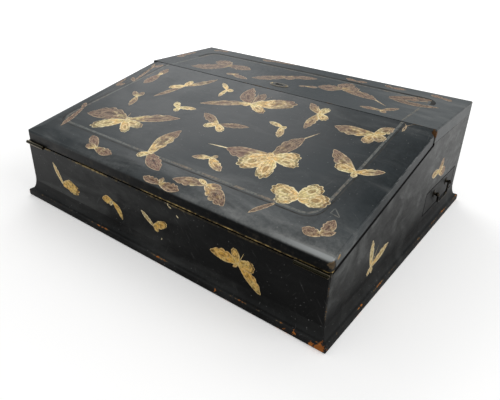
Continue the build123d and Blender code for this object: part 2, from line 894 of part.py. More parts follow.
with BuildPart() as drawer_front:
    with BuildSketch(Plane.YZ.offset(x_face_back)):
        with Locations((y_drawer_middle, z_drawer + drawer_height / 2)):
            Rectangle(drawer_width, drawer_height)
    extrude(amount=drawer_front_thickness)
    for plane in drawer_side_planes():
        with BuildSketch(plane):
            add(tail_row(x_tail_end, x_face_back, z_drawer, z_side_top, drawer_tails))
        extrude(amount=drawer_side_thickness, mode=Mode.SUBTRACT)
    cut_drawer_groove()
    with BuildSketch(Plane.YZ.offset(x_face_back)):
        with Locations(*post_places):
            Circle(post_shank_radius)
    extrude(amount=drawer_front_thickness, mode=Mode.SUBTRACT)
save(drawer_front, "drawer_front")

with BuildPart() as drawer_back:
    with BuildSketch(Plane.YZ.offset(x_drawer_back)):
        with Locations((y_drawer_middle, (z_panel_top + z_side_top) / 2)):
            Rectangle(drawer_width, z_side_top - z_panel_top)
    extrude(amount=drawer_back_thickness)
    for plane in drawer_side_planes():
        with BuildSketch(plane):
            add(tail_row(x_drawer_back, x_back_inner, z_panel_top, z_side_top, 1))
        extrude(amount=drawer_side_thickness, mode=Mode.SUBTRACT)
save(drawer_back, "drawer_back")

for plane, name in zip(drawer_side_planes(), ("drawer_side_near", "drawer_side_far")):
    with BuildPart() as drawer_side:
        with BuildSketch(plane):
            with BuildLine():
                Polyline(
                    (x_back_inner, z_drawer),
                    (x_back_inner, z_side_top),
                    (x_face_back, z_side_top),
                    (x_face_back, z_drawer),
                    close=True,
                )
            make_face()
            add(tail_row(x_tail_end, x_face_back, z_drawer, z_side_top, drawer_tails))
            add(tail_row(x_drawer_back, x_back_inner, z_panel_top, z_side_top, 1))
        extrude(amount=drawer_side_thickness)
        cut_drawer_groove()
    save(drawer_side, name)

with BuildPart() as drawer_bottom:
    x_far = x_face_back + drawer_bottom_groove
    with BuildSketch(Plane.XY.offset(z_panel)):
        with Locations(((x_drawer_back + x_far) / 2, y_drawer_middle)):
            Rectangle(x_far - x_drawer_back, 2 * panel_half)
    extrude(amount=drawer_bottom_thickness)
save(drawer_bottom, "drawer_bottom")

# Posts, nuts and bail of the drawer
x_bail = x_side + post_stand_off
bail_bore = bail_radius + bail_bore_clearance
post_end = drawer_front_thickness + nut_thickness
neck_angle = asin(post_neck_radius / post_ball_radius)
ball_start = post_stand_off - post_ball_radius * cos(neck_angle)
for side, (y_post, z_post), name in zip(
    (-1, 1), post_places, ("handle_post_near", "handle_post_far")
):
    with BuildPart() as post:
        turned = Plane(origin=(x_side, y_post, z_post), x_dir=(1, 0, 0), z_dir=(0, -1, 0))
        with BuildSketch(turned):
            with BuildLine():
                Polyline(
                    (-post_end, 0),
                    (-post_end, post_shank_radius),
                    (0, post_shank_radius),
                    (0, rosette_radius),
                    (rosette_thickness / 2, rosette_radius),
                    (rosette_thickness, post_neck_radius + rosette_thickness),
                    (rosette_thickness, post_neck_radius),
                    (ball_start, post_neck_radius),
                )
                CenterArc(
                    (post_stand_off, 0), post_ball_radius, 0, 180 - degrees(neck_angle)
                )
                Line((post_stand_off + post_ball_radius, 0), (-post_end, 0))
            make_face()
        revolve(axis=Axis((x_side, y_post, z_post), (1, 0, 0)))
        bore_depth = bail_end_depth + bail_bore_clearance
        with Locations((x_bail, y_post - side * post_ball_radius, z_post)):
            Cylinder(bail_bore, 2 * bore_depth, rotation=(90, 0, 0), mode=Mode.SUBTRACT)
    save(post, name)

with BuildPart() as nuts:
    with BuildSketch(Plane.YZ.offset(x_face_back - nut_thickness)):
        with Locations(*post_places):
            Rectangle(nut_size, nut_size)
            Circle(post_shank_radius, mode=Mode.SUBTRACT)
    extrude(amount=nut_thickness)
save(nuts, "handle_nuts")

with BuildPart() as bail:
    z_post = z_drawer + post_rise
    y_end = post_spacing / 2 - post_ball_radius + bail_end_depth
    y_arm = post_spacing / 2 - post_ball_radius - bail_arm_clearance - bail_radius
    upright = Plane(origin=(x_bail, y_drawer_middle, z_post), x_dir=(0, 1, 0), z_dir=(1, 0, 0))
    with BuildLine(upright) as route:
        Line((-y_end, 0), (-y_arm, 0))
        FilletPolyline(
            (-y_arm, 0),
            (-y_arm, -bail_drop),
            (y_arm, -bail_drop),
            (y_arm, 0),
            radius=bail_corner_radius,
        )
        Line((y_arm, 0), (y_end, 0))
    with BuildSketch(Plane(origin=upright.from_local_coords((-y_end, 0, 0)), z_dir=(0, 1, 0))):
        Circle(bail_radius)
    sweep(path=route.wires()[0], transition=Transition.RIGHT)
save(bail, "drawer_bail")
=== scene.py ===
# %% [markdown]
# # A lacquered writing slope with gilt butterflies
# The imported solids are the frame. This file dresses them: lacquer with its wear and haze, gilt
# butterflies and border lines, aged brass, bare wood inside and a leather writing surface.
# Everything is in metres, in the same frame as the solids, with +X right and -Y to the front.

# %% Load the frame
import math

import bmesh
import bpy
from mathutils import Matrix, Vector


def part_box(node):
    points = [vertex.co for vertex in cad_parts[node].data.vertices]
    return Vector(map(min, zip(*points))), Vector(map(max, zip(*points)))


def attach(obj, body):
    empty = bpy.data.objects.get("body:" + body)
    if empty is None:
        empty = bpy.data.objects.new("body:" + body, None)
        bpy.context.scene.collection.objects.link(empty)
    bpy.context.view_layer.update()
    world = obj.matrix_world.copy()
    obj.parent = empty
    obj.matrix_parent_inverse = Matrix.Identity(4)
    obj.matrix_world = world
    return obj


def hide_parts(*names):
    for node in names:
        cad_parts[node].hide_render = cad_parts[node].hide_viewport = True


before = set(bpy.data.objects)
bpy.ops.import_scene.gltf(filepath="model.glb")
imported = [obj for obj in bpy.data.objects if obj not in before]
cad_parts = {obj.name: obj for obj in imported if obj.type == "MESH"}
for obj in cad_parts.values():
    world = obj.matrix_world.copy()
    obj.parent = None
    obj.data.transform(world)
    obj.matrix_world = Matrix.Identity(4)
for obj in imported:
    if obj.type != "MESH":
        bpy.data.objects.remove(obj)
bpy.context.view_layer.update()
mm = 0.001

# %% [markdown]
# ## The camera
# The view stands to the right of the front, a little above the slope, and leans by two degrees.
# Its place, aim and lens come from fitting the object's own straight edges. The small shift
# keeps the object where it stands in the picture without turning the camera.

# %% Camera
camera_place = Vector((0.3288, -0.4419, 0.3010))
camera_azimuth = math.radians(35.98)
camera_elevation = math.radians(27.73)
camera_roll = math.radians(2.19)
camera_lens = 36.09
camera_sensor = 36.0
camera_shift = (-0.0062, -0.0221)

camera_back = Vector(
    (
        math.sin(camera_azimuth) * math.cos(camera_elevation),
        -math.cos(camera_azimuth) * math.cos(camera_elevation),
        math.sin(camera_elevation),
    )
)
level_right = (-camera_back).cross(Vector((0, 0, 1))).normalized()
level_up = level_right.cross(-camera_back)
right = level_right * math.cos(camera_roll) + level_up * math.sin(camera_roll)
up = level_up * math.cos(camera_roll) - level_right * math.sin(camera_roll)

camera_data = bpy.data.cameras.new("Camera")
camera_data.lens = camera_lens
camera_data.sensor_width = camera_sensor
camera_data.shift_x, camera_data.shift_y = camera_shift
camera = bpy.data.objects.new("Camera", camera_data)
camera.matrix_world = Matrix.Translation(camera_place) @ Matrix(
    (right, up, camera_back)
).transposed().to_4x4()
bpy.context.scene.collection.objects.link(camera)
bpy.context.scene.camera = camera
print("camera is", round(camera_place.length, 3), "m from the middle of the case")

# %% [markdown]
# ## Node helpers
# Materials and geometry trees are built in code. `wire` makes a node, sets it up and joins its
# inputs, so that a tree reads from top to bottom like a recipe. New nodes go into the tree that
# was begun last. The signs + - * / and abs() are taught to sockets, so that a sum of masks can be
# written as a sum, and each sign makes its own Math node.


# %% Helpers for node trees
trees = []


def link(output, target):
    trees[-1].links.new(output, target)


def wire(kind, inputs=None, **settings):
    """Makes a node: settings are its own options, inputs are values or sockets to join."""
    node = trees[-1].nodes.new(kind)
    for key, value in settings.items():
        setattr(node, key, value)
    for key, value in (inputs or {}).items():
        if isinstance(value, bpy.types.NodeSocket):
            link(value, node.inputs[key])
        else:
            node.inputs[key].default_value = value
    return node


def first(kind, inputs=None, **settings):
    """Makes a node and gives its first output."""
    return wire(kind, inputs, **settings).outputs[0]


# %% Sums of sockets
def maths(operation, a, b=0.0, clamp=False):
    return first("ShaderNodeMath", {0: a, 1: b}, operation=operation, use_clamp=clamp)


def most(a, b):
    """The larger of two values, where the first may still be None."""
    return b if a is None else maths("MAXIMUM", a, b)


socket_type = bpy.types.NodeSocket
signs = {"add": "ADD", "sub": "SUBTRACT", "mul": "MULTIPLY", "truediv": "DIVIDE"}
for sign, operation in signs.items():
    setattr(socket_type, f"__{sign}__", lambda a, b, kind=operation: maths(kind, a, b))
    setattr(socket_type, f"__r{sign}__", lambda a, b, kind=operation: maths(kind, b, a))
socket_type.__abs__ = lambda a: maths("ABSOLUTE", a)


def vectors(operation, a, b=(0.0, 0.0, 0.0)):
    return first("ShaderNodeVectorMath", {0: a, 1: b}, operation=operation)


def length_of(vector):
    return wire("ShaderNodeVectorMath", {0: vector}, operation="LENGTH").outputs[1]


def split(vector):
    return wire("ShaderNodeSeparateXYZ", {0: vector}).outputs


def combine(x, y=0.0, z=0.0):
    return first("ShaderNodeCombineXYZ", {0: x, 1: y, 2: z})


# %% Masks, mixes and noise
def span(value, start, stop):
    """0 at start, 1 at stop, and a soft step between them; start may be the larger one."""
    inputs = {"Value": value, "From Min": start, "From Max": stop}
    return first("ShaderNodeMapRange", inputs, interpolation_type="SMOOTHSTEP")


def mix(factor, a, b):
    """Mixes two numbers."""
    return first("ShaderNodeMix", {0: factor, 2: a, 3: b}, data_type="FLOAT")


def tint(factor, a, b):
    """Mixes two colours."""
    return wire("ShaderNodeMix", {0: factor, 6: a, 7: b}, data_type="RGBA").outputs[2]


def noise(place, scale, detail=3.0, roughness=0.55, distortion=0.0):
    values = (place, scale, detail, roughness, distortion)
    labels = ("Vector", "Scale", "Detail", "Roughness", "Distortion")
    return first("ShaderNodeTexNoise", dict(zip(labels, values)))


def stretch(place, turn=(0.0, 0.0, 0.0), scale=(1.0, 1.0, 1.0)):
    return first("ShaderNodeMapping", {"Vector": place, "Rotation": turn, "Scale": scale})


# %% New groups and materials
def new_group(name, inputs, outputs):
    """A shader node group, with its input and output sockets."""
    tree = bpy.data.node_groups.new(name, "ShaderNodeTree")
    trees.append(tree)
    for label, kind, value in inputs:
        socket = tree.interface.new_socket(label, in_out="INPUT", socket_type=kind)
        socket.default_value = value
    for label, kind in outputs:
        tree.interface.new_socket(label, in_out="OUTPUT", socket_type=kind)
    return tree, wire("NodeGroupInput").outputs, wire("NodeGroupOutput").inputs


def new_material(name, gloss=0.5):
    """A material, with its shader and the place on its object."""
    material = bpy.data.materials.new(name)
    material.use_nodes = True
    trees.append(material.node_tree)
    material.node_tree.nodes.clear()
    shader = wire("ShaderNodeBsdfPrincipled")
    shader.inputs["Specular IOR Level"].default_value = gloss
    wire("ShaderNodeOutputMaterial", {"Surface": shader.outputs[0]})
    return material, shader, wire("ShaderNodeTexCoord").outputs["Object"]


FLOAT, VECTOR, COLOUR = "NodeSocketFloat", "NodeSocketVector", "NodeSocketColor"

# %% [markdown]
# ## The stage
# A wide pale floor, a soft white sky and two soft lamps. Glossy lacquer shows what stands round
# it, so reflections see a quieter room than the camera does: a cool sky, and a floor that is
# darkest just in front, where the photographer stood, and brighter to the left and the back.

# %% Floor
floor_size = 12.0
floor_drop = 0.0001

floor_mesh = bpy.data.meshes.new("Floor")
quarters = ((-1, -1), (1, -1), (1, 1), (-1, 1))
corners = [(x * floor_size, y * floor_size, -floor_drop) for x, y in quarters]
floor_mesh.from_pydata(corners, [], [(0, 1, 2, 3)])
floor = bpy.data.objects.new("Floor", floor_mesh)
bpy.context.scene.collection.objects.link(floor)

floor_material, shader, place = new_material("Pale floor", gloss=0.0)
shader.inputs["Roughness"].default_value = 0.9
shader.inputs["Emission Color"].default_value = (1, 1, 1, 1)
rays = wire("ShaderNodeLightPath").outputs
x, y, z = split(place)
# What a reflection sees: dark in front, brighter far to the left, to the right and at the back
reflected = span(x, 0.04, -0.42) * 0.9 + 0.14
reflected = span(x, 0.16, 0.34) * 0.74 + reflected
reflected = span(y, 0.0, 0.4) * 0.4 + reflected
dimmed = 1.0 - rays["Is Glossy Ray"] * (1.0 - reflected)
pale = tint(dimmed, (0, 0, 0, 1), (0.93, 0.93, 0.925, 1))
link(pale, shader.inputs["Base Color"])
glow = span(length_of(place), 0.3, 1.2) * 0.42 + 0.28
link(rays["Is Camera Ray"] * glow, shader.inputs["Emission Strength"])
floor_mesh.materials.append(floor_material)

# %% Sky
sky_light = 0.60
sky_mirrored = 0.55
sky_overhead = 0.42
sky_tint = (0.90, 0.97, 1.0, 1)
world = bpy.data.worlds.new("White sky")
bpy.context.scene.world = world
world.use_nodes = True
trees.append(world.node_tree)
world.node_tree.nodes.clear()
rays = wire("ShaderNodeLightPath").outputs
colour = tint(rays["Is Glossy Ray"], (1, 1, 1, 1), sky_tint)
strength = rays["Is Camera Ray"] * (1.0 - sky_light) + sky_light
# Overhead the room is darker than its walls, so the lid's rolled edges turn darker
way = wire("ShaderNodeTexCoord").outputs["Generated"]
overhead = span(split(way)[2], 0.68, 0.93)
mirrored = overhead * (sky_overhead - sky_mirrored) + sky_mirrored
strength = rays["Is Glossy Ray"] * (mirrored - sky_light) + strength
sky = wire("ShaderNodeBackground", {"Color": colour, "Strength": strength})
wire("ShaderNodeOutputWorld", {"Surface": sky.outputs[0]})
bpy.context.scene.view_settings.view_transform = "Standard"


# %% Lamps
lamp_aim = Vector((0.0, 0.0, 0.05))


def soft_lamp(name, place, size, power):
    """A square lamp that looks at the middle of the case."""
    data = bpy.data.lights.new(name, "AREA")
    data.size = size
    data.energy = power
    lamp = bpy.data.objects.new(name, data)
    lamp.location = place
    lamp.rotation_euler = (lamp_aim - Vector(place)).to_track_quat("-Z", "Y").to_euler()
    bpy.context.scene.collection.objects.link(lamp)


soft_lamp("Key", (-0.95, 0.75, 1.0), size=0.9, power=5.5)
soft_lamp("Fill", (1.4, 0.1, 1.1), size=1.0, power=7.0)
print("stage ready")

# %% [markdown]
# ## Sizes read from the frame
# The slope's tilt follows from the box of the lid: its lowest corner lies under its front edge,
# and its upper face meets the flat top at the full height.

# %% Sizes
case_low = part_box("front_board")[0]
top_low, top_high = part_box("top_board")
half_width = top_high.x
case_front = case_low.y
case_back = top_high.y
case_top = top_high.z
joint_y = top_low.y
board = case_top - top_low.z
run = joint_y - case_front
fall = case_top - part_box("lid_board")[0].z
tilt = math.acos(board / math.hypot(fall, run)) - math.atan2(run, fall)
front_top = case_top - run * math.tan(tilt)
slope_length = run / math.cos(tilt)
slope_up = Vector((0, math.cos(tilt), math.sin(tilt)))
slope_out = Vector((0, -math.sin(tilt), math.cos(tilt)))
lid_edge_place = Vector((0, case_front, front_top))
print("tilt", round(math.degrees(tilt), 2), "deg, lid front", round(front_top, 4), "m")

# %% [markdown]
# ## Shared effects
# Old lacquer wears where hands and tables touch it: along edges, at corners and on the base's
# lip. These groups give the masks. Each material then decides what shows through: brown
# undercoat first, bare wood where the chip is deep.

# %% Nearness to the edges of a board
nearness_group, given, gives = new_group(
    "Edge nearness",
    [
        ("Place", VECTOR, (0, 0, 0)),
        ("Middle", VECTOR, (0, 0, 0)),
        ("Half size", VECTOR, (1, 1, 1)),
        ("Tilt", FLOAT, 0.0),
        ("Reach", FLOAT, 0.002),
    ],
    [("Nearness", FLOAT)],
)
away = vectors("SUBTRACT", given["Place"], given["Middle"])
turned = first(
    "ShaderNodeVectorRotate", {"Vector": away, "Angle": given["Tilt"]}, rotation_type="X_AXIS",
)
depth = vectors("SUBTRACT", given["Half size"], vectors("ABSOLUTE", turned))
dx, dy, dz = split(depth)
lower = maths("MINIMUM", dx, dy)
upper = most(dx, dy)
# An edge is near where two of the three depths are small, so the second smallest one counts
second = most(lower, maths("MINIMUM", upper, dz))
link(span(second / given["Reach"], 1.0, 0.0), gives["Nearness"])

# %% Chips and rubbed places
chip_group, given, gives = new_group(
    "Chips",
    [
        ("Place", VECTOR, (0, 0, 0)),
        ("Nearness", FLOAT, 0.0),
        ("Size", FLOAT, 0.004),
        ("Amount", FLOAT, 0.5),
        ("Softness", FLOAT, 0.04),
    ],
    [("Mask", FLOAT)],
)
scale = 1.0 / given["Size"]
coarse = noise(given["Place"], scale, 4.0, 0.62)
patchy = noise(given["Place"], scale * 0.16, 2.0, 0.5)
chance = (patchy - 0.5) * 0.9 + coarse
level = given["Nearness"] * given["Amount"] + chance
link(maths("DIVIDE", level - 1.0, given["Softness"], clamp=True), gives["Mask"])

# %% Haze, dust and fine scratches
haze_group, given, gives = new_group(
    "Lacquer haze",
    [("Place", VECTOR, (0, 0, 0)), ("Patch size", FLOAT, 0.08)],
    [("Haze", FLOAT), ("Mottle", FLOAT), ("Smears", FLOAT), ("Scratches", FLOAT), ("Specks", FLOAT)],
)
haze = noise(given["Place"], 1.0 / given["Patch size"], 4.0, 0.6)
link(span(haze, 0.32, 0.72), gives["Haze"])
mottle = noise(given["Place"], 260.0, 4.0, 0.7)
link(span(mottle, 0.3, 0.75), gives["Mottle"])
wiped = stretch(given["Place"], (0.0, 0.0, 0.35), (9, 34, 34))
smears = noise(wiped, 1.0, 6.0, 0.66, 0.6)
link(span(smears, 0.46, 0.74), gives["Smears"])
marks = None
for turn, length in ((0.5, 26.0), (-0.9, 34.0), (1.9, 22.0)):
    # The sheets of a mark lie askew to every face, so that each face cuts them into lines
    lines = stretch(given["Place"], (0.6, 0.5, turn))
    lines = vectors("MULTIPLY", lines, (length, 900.0, 60.0))
    gaps = span(noise(given["Place"], length, 1.0), 0.48, 0.6)
    drawn = span(noise(lines, 1.0, 2.0, 0.5), 0.66, 0.76) * gaps
    marks = most(marks, drawn)
link(marks, gives["Scratches"])
specks = noise(given["Place"], 520.0, 1.0, 0.4)
link(span(specks, 0.74, 0.79), gives["Specks"])

# %% Wood grain
grain_group, given, gives = new_group(
    "Wood grain",
    [
        ("Place", VECTOR, (0, 0, 0)),
        ("Stretch", VECTOR, (8, 160, 160)),
        ("Dark", COLOUR, (0.2, 0.09, 0.035, 1)),
        ("Light", COLOUR, (0.42, 0.22, 0.1, 1)),
    ],
    [("Colour", COLOUR), ("Height", FLOAT)],
)
along = vectors("MULTIPLY", given["Place"], given["Stretch"])
bands = noise(along, 0.35, 3.0, 0.6, 0.8)
fibres = noise(along, 3.2, 3.0, 0.7)
pores = span(noise(along, 7.0, 2.0, 0.6), 0.62, 0.72)
lightness = fibres * 0.45 + bands * 0.75
colour = tint(span(lightness, 0.35, 0.85), given["Dark"], given["Light"])
colour = tint(pores * 0.55, colour, given["Dark"])
link(colour, gives["Colour"])
link(fibres - pores * 0.8, gives["Height"])
print("groups", [group.name for group in bpy.data.node_groups])

# %% [markdown]
# ## Lacquer
# Black lacquer is never quite black: handling clouds it, dust settles in it, and fine scratches
# catch the light. Some of its haze and a pale sheen are painted light, and its seams and the lid's
# front edge are darkened with painted shade. The haze changes the roughness as much as the
# colour, so that the broad reflection of the sky breaks up over the surface. Chips first show a brown
# undercoat and then
# bare, orange-brown wood. A few places have lost their lacquer altogether, and each is a rough
# ball in space, so that it wraps round its corner as a real knock does.

# %% Colours of lacquer and wood
lacquer_black = (0.0085, 0.0085, 0.0085, 1)
lacquer_cloudy = (0.040, 0.041, 0.040, 1)
slate_black = (0.012, 0.015, 0.0165, 1)
slate_cloudy = (0.036, 0.044, 0.048, 1)
undercoat = (0.060, 0.034, 0.015, 1)
rubbed_line = (0.30, 0.21, 0.10, 1)
# Pale grey for dust, smears and scratches, and for painted sheen and highlights
dust_and_sheen_colour = (0.20, 0.205, 0.20, 1)
# Near-black for painted shade in seams and gaps
painted_shade_black = (0.003, 0.003, 0.003, 1)
old_gold = ((0.08, 0.05, 0.018, 1), (0.56, 0.4, 0.15, 1))
wood_dark = (0.22, 0.065, 0.012, 1)
wood_light = (0.55, 0.19, 0.035, 1)
pale_wood = ((0.15, 0.085, 0.035, 1), (0.52, 0.35, 0.17, 1))


# %% Placing a shared effect
def use(group, **inputs):
    """Places a shared effect; its inputs are named with underscores for spaces."""
    named = {key.replace("_", " "): value for key, value in inputs.items()}
    return wire("ShaderNodeGroup", named, node_tree=group).outputs


def bare_spot(place, centre, radius):
    """A rough ball round a centre, 1 inside."""
    away = length_of(vectors("SUBTRACT", place, centre))
    rough = noise(place, 1.6 / radius, 5.0, 0.7) - 0.5
    return span(rough * (2.2 * radius) + away, 0.95 * radius, 0.8 * radius)


# %% Lacquer and its wear
def add_lacquer(
    place, nearness, amount=0.5, chip_size=0.004, cloud=1.0, bare_spots=(),
    black=lacquer_black, cloudy=lacquer_cloudy, gilded=None, bare=(wood_dark, wood_light),
    sheen=None,
):
    """Lacquer's colour, roughness and height, worn where nearness is 1.

    cloud and gilded are masks of how cloudy it is and where it is rubbed to gold; the third mask
    says where a pale painted sheen lies.
    """
    haze = use(haze_group, Place=place, Patch_size=0.075)
    clouded = haze["Haze"] * cloud
    colour = tint(clouded, black, cloudy)
    colour = tint(haze["Mottle"] * 0.45 * cloud, colour, cloudy)
    smeared = haze["Smears"] * 0.3 * cloud
    colour = tint(smeared, colour, dust_and_sheen_colour)
    # Painted sheen: a pale veil of dust colour over the masked places
    if sheen is not None:
        sheen_veil = haze["Mottle"] * 0.35 + (haze["Smears"] * 0.65 + 0.35)
        colour = tint(sheen_veil * sheen, colour, dust_and_sheen_colour)
    colour = tint(haze["Scratches"] * 0.24, colour, dust_and_sheen_colour)
    colour = tint(haze["Specks"] * 0.6, colour, dust_and_sheen_colour)
    at_edge = {"Place": place, "Nearness": nearness, "Size": chip_size}
    rub = use(chip_group, **at_edge, Amount=amount + 0.2, Softness=0.16)[0]
    chip = use(chip_group, **at_edge, Amount=amount, Softness=0.03)[0]
    for centre, radius in bare_spots:
        chip = most(chip, bare_spot(place, centre, radius))
    worn = noise(place, 260.0, 3.0)
    worn_colour = tint(span(worn, 0.42, 0.68), undercoat, rubbed_line)
    colour = tint(rub * 0.75, colour, worn_colour)
    wood = use(grain_group, Place=place, Stretch=(40, 160, 160), Dark=bare[0], Light=bare[1])
    colour = tint(chip, colour, wood["Colour"])
    if gilded is not None:
        golden = tint(span(worn, 0.35, 0.65), *old_gold)
        colour = tint(gilded, colour, golden)
    # Cloudy, smeared and worn places are duller, and a chip lies lower than its lacquer
    rough = haze["Mottle"] * 0.1 + (haze["Haze"] * 0.12 + 0.27)
    worn = most(most(rub, chip), haze["Scratches"])
    rough = worn * 0.25 + (smeared * 0.3 + rough)
    ripple = noise(stretch(place, scale=(0.5, 0.5, 1.6)), 60.0, 3.0, 0.5)
    height = haze["Mottle"] * 0.14 + ripple * 2.0
    height = height - haze["Scratches"] * 0.2 - chip * 1.6
    return colour, rough, height


def finish_surface(shader, colour, rough, height, strength=0.25, distance=0.0004):
    """Joins a finish to the shader of its material."""
    bump = first("ShaderNodeBump", {"Height": height, "Strength": strength, "Distance": distance})
    link(colour, shader.inputs["Base Color"])
    link(rough, shader.inputs["Roughness"])
    link(bump, shader.inputs["Normal"])


def edge_nearness(place, middle, half, reach, lean=0.0):
    """1 at the edges of a box that leans about X, and 0 from reach inwards."""
    return use(nearness_group, Place=place, Middle=middle, Half_size=half, Tilt=-lean, Reach=reach)[0]


# %% The lid's middle, its bare spots and places on its slope
lid_gloss = 0.21
lid_middle = Vector((0, (case_front + joint_y) / 2, (front_top + case_top) / 2))
lid_middle -= slope_out * board / 2
lid_half = Vector((half_width, slope_length / 2, board / 2))
rubbed_corner = Vector((half_width - 0.0005, case_front + 0.0015, front_top - 0.0075))
rubbed_side = Vector((half_width, case_front + 0.0100, front_top - 0.0040))
slate = {"black": slate_black, "cloudy": slate_cloudy}


def slope_place(place):
    """A place's x, distance up the slope and height over the lid's flat face."""
    from_edge = vectors("SUBTRACT", place, lid_edge_place)
    up, out = (
        wire("ShaderNodeVectorMath", {0: from_edge, 1: way}, operation="DOT_PRODUCT").outputs[1]
        for way in (slope_up, slope_out)
    )
    return split(place)[0], up, out


# %% Haze, painted sheen and painted shade of the lid
lid_lacquer, shader, place = new_material("Lid lacquer", lid_gloss)
near = edge_nearness(place, lid_middle, lid_half, 0.0026, tilt)
x, up_slope, out = slope_place(place)
# Painted sheen: the lid is hazier towards its right end, and a pale sheen is painted along the
# nose and its front strip, on the right end of the front edge most of all
cloud = span(x, -half_width, 0.02) * 0.25 + 0.6
right_front_sheen = span(x, -0.06, 0.17) * span(up_slope, 0.075, 0.0)
nose = span(up_slope, 0.012, 0.003) * span(x, -0.18, 0.19)
nose = nose * 0.5 + right_front_sheen * 0.55
# Painted shade: below its nose the board's front edge is kept dark, free of the painted sheen
# and haze
under_nose_shade = span(out, -0.003, -0.0062) * span(up_slope, 0.006, 0.003)
clear_of_nose_shade = 1.0 - under_nose_shade
from_right = half_width - x
corner = span(from_right, 0.085, 0.012)
# Painted highlight along the edge of the nose, near the right corner
nose_glint = span(up_slope, 0.0036, 0.0022) * span(out, -0.0042, -0.003)
nose_glint = nose_glint * (span(from_right, 0.066, 0.01) * 0.6)
# Painted highlight: more sheen on the nose towards the right corner, and patches of it along the front
nose = corner * span(up_slope, 0.0065, 0.003) * 1.3 + nose
patches = span(noise(stretch(place, scale=(14, 40, 40)), 1.0, 4.0), 0.46, 0.66)
strip = span(up_slope, 0.055, 0.02) * patches
nose = strip * 0.38 + nose
nose = nose * clear_of_nose_shade
cloud = (right_front_sheen * 0.9 + cloud) * clear_of_nose_shade

# %% Lacquer of the lid, with its worn edges, painted highlights and painted shade
# The lower front edge rubs on the wall under it, down to a golden brown
low_edge = span(out + board, 0.0022, 0.0006) * span(up_slope, 0.003, 0.001)
rubbed = span(noise(place, 30.0, 5.0, 0.65), 0.36, 0.56) * span(x, -0.08, 0.02)
gilded = low_edge * rubbed
spots = ((rubbed_corner, 0.0038), (rubbed_side, 0.0024))
lid_finish = add_lacquer(
    place, near, 0.3, 0.004, cloud, spots, gilded=gilded, bare=pale_wood, sheen=nose, **slate
)
# Painted shade: a mottled near-black under the nose
shade_mottle = span(noise(place, 140.0, 5.0, 0.7), 0.5, 0.72)
grime_and_shade = tint(shade_mottle, (0.004, 0.004, 0.004, 1), (0.034, 0.028, 0.02, 1))
colour = tint(under_nose_shade * 0.8, lid_finish[0], grime_and_shade)
# Painted highlight: the edge of the nose is palest beside the right corner
colour = tint(nose_glint, colour, (0.44, 0.46, 0.46, 1))
# Painted highlight: a streaky grey line along the rim of each side, most towards the back
rim_glint = span(out, -0.0052, -0.0036) * span(out, -0.0014, -0.0024)
from_side = half_width - abs(x)
rim_glint = rim_glint * span(from_side, 0.0008, 0.0003)
streaks = noise(stretch(place, scale=(500, 38, 500)), 1.0, 4.0, 0.7)
rim_glint = rim_glint * span(streaks, 0.46, 0.6) * span(up_slope, 0.02, 0.13)
colour = tint(rim_glint * 0.7, colour, dust_and_sheen_colour)
# Painted shade: the lower edge of the sides is darkened beside the gap under the lid
side_gap_shade = span(out + board, 0.0022, 0.001) * span(from_side, 0.0012, 0.0004)
colour = tint(side_gap_shade, colour, painted_shade_black)
rough = side_gap_shade * 0.5 + lid_finish[1]
finish_surface(shader, tint(gilded, colour, lid_finish[0]), rough, lid_finish[2])

# %% Lacquer of the flat top
top_lacquer, shader, place = new_material("Flat top lacquer", lid_gloss)
near = edge_nearness(place, (top_low + top_high) / 2, (top_high - top_low) / 2, 0.0022)
lost_corner = Vector((half_width - 0.001, joint_y - 0.0012, case_top - 0.005))
brown_wood = ((0.050, 0.022, 0.008, 1), (0.22, 0.105, 0.038, 1))
x = split(place)[0]
# Painted sheen: the flat top is hazier towards its right end and carries a pale painted sheen there
cloud = span(x, -0.02, 0.19) * 1.25 + 0.35
sheen_veil = span(x, 0.02, 0.19) * 0.42
spots = ((lost_corner, 0.0048),)
top_finish = add_lacquer(
    place, near, 0.28, 0.004, cloud, spots, bare=brown_wood, sheen=sheen_veil, **slate
)
finish_surface(shader, *top_finish)


# %% Bare wood inside the case
def add_wood(place, stretch_by):
    """Bare wood's colour, roughness and height, soiled by use."""
    wood = use(grain_group, Place=place, Stretch=stretch_by)
    grime_and_shade = noise(place, 30.0, 3.0)
    soiled = span(grime_and_shade, 0.45, 0.8) * 0.5
    colour = tint(soiled, wood["Colour"], (0.09, 0.045, 0.02, 1))
    rough = grime_and_shade * 0.25 + 0.45
    return colour, rough, wood["Height"]


def wood_material(name, stretch_by):
    material, shader, place = new_material(name)
    finish_surface(shader, *add_wood(place, stretch_by), strength=0.3, distance=0.0003)
    return material


wood_across = wood_material("Wood with its grain left to right", (8, 160, 160))
wood_back = wood_material("Wood with its grain front to back", (160, 8, 160))

# %% [markdown]
# ## The walls' own wear
# Three things meet on the walls. Their outer faces are lacquered and their inner faces bare.
# Their upright corners are chipped. And their sloping upper rims, which the lid has knocked for
# a century, have rubbed to a brown and gold line. The rim is found by its distance from the
# slope's plane, so the same mask serves the low front and both sloping sides.

# %% Masks of the walls
wall = 0.011
lid_gap = 0.0012
walls_gloss = 0.17
drawer_low, drawer_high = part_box("drawer_front")
drawer_middle, drawer_half = (drawer_low + drawer_high) / 2, (drawer_high - drawer_low) / 2

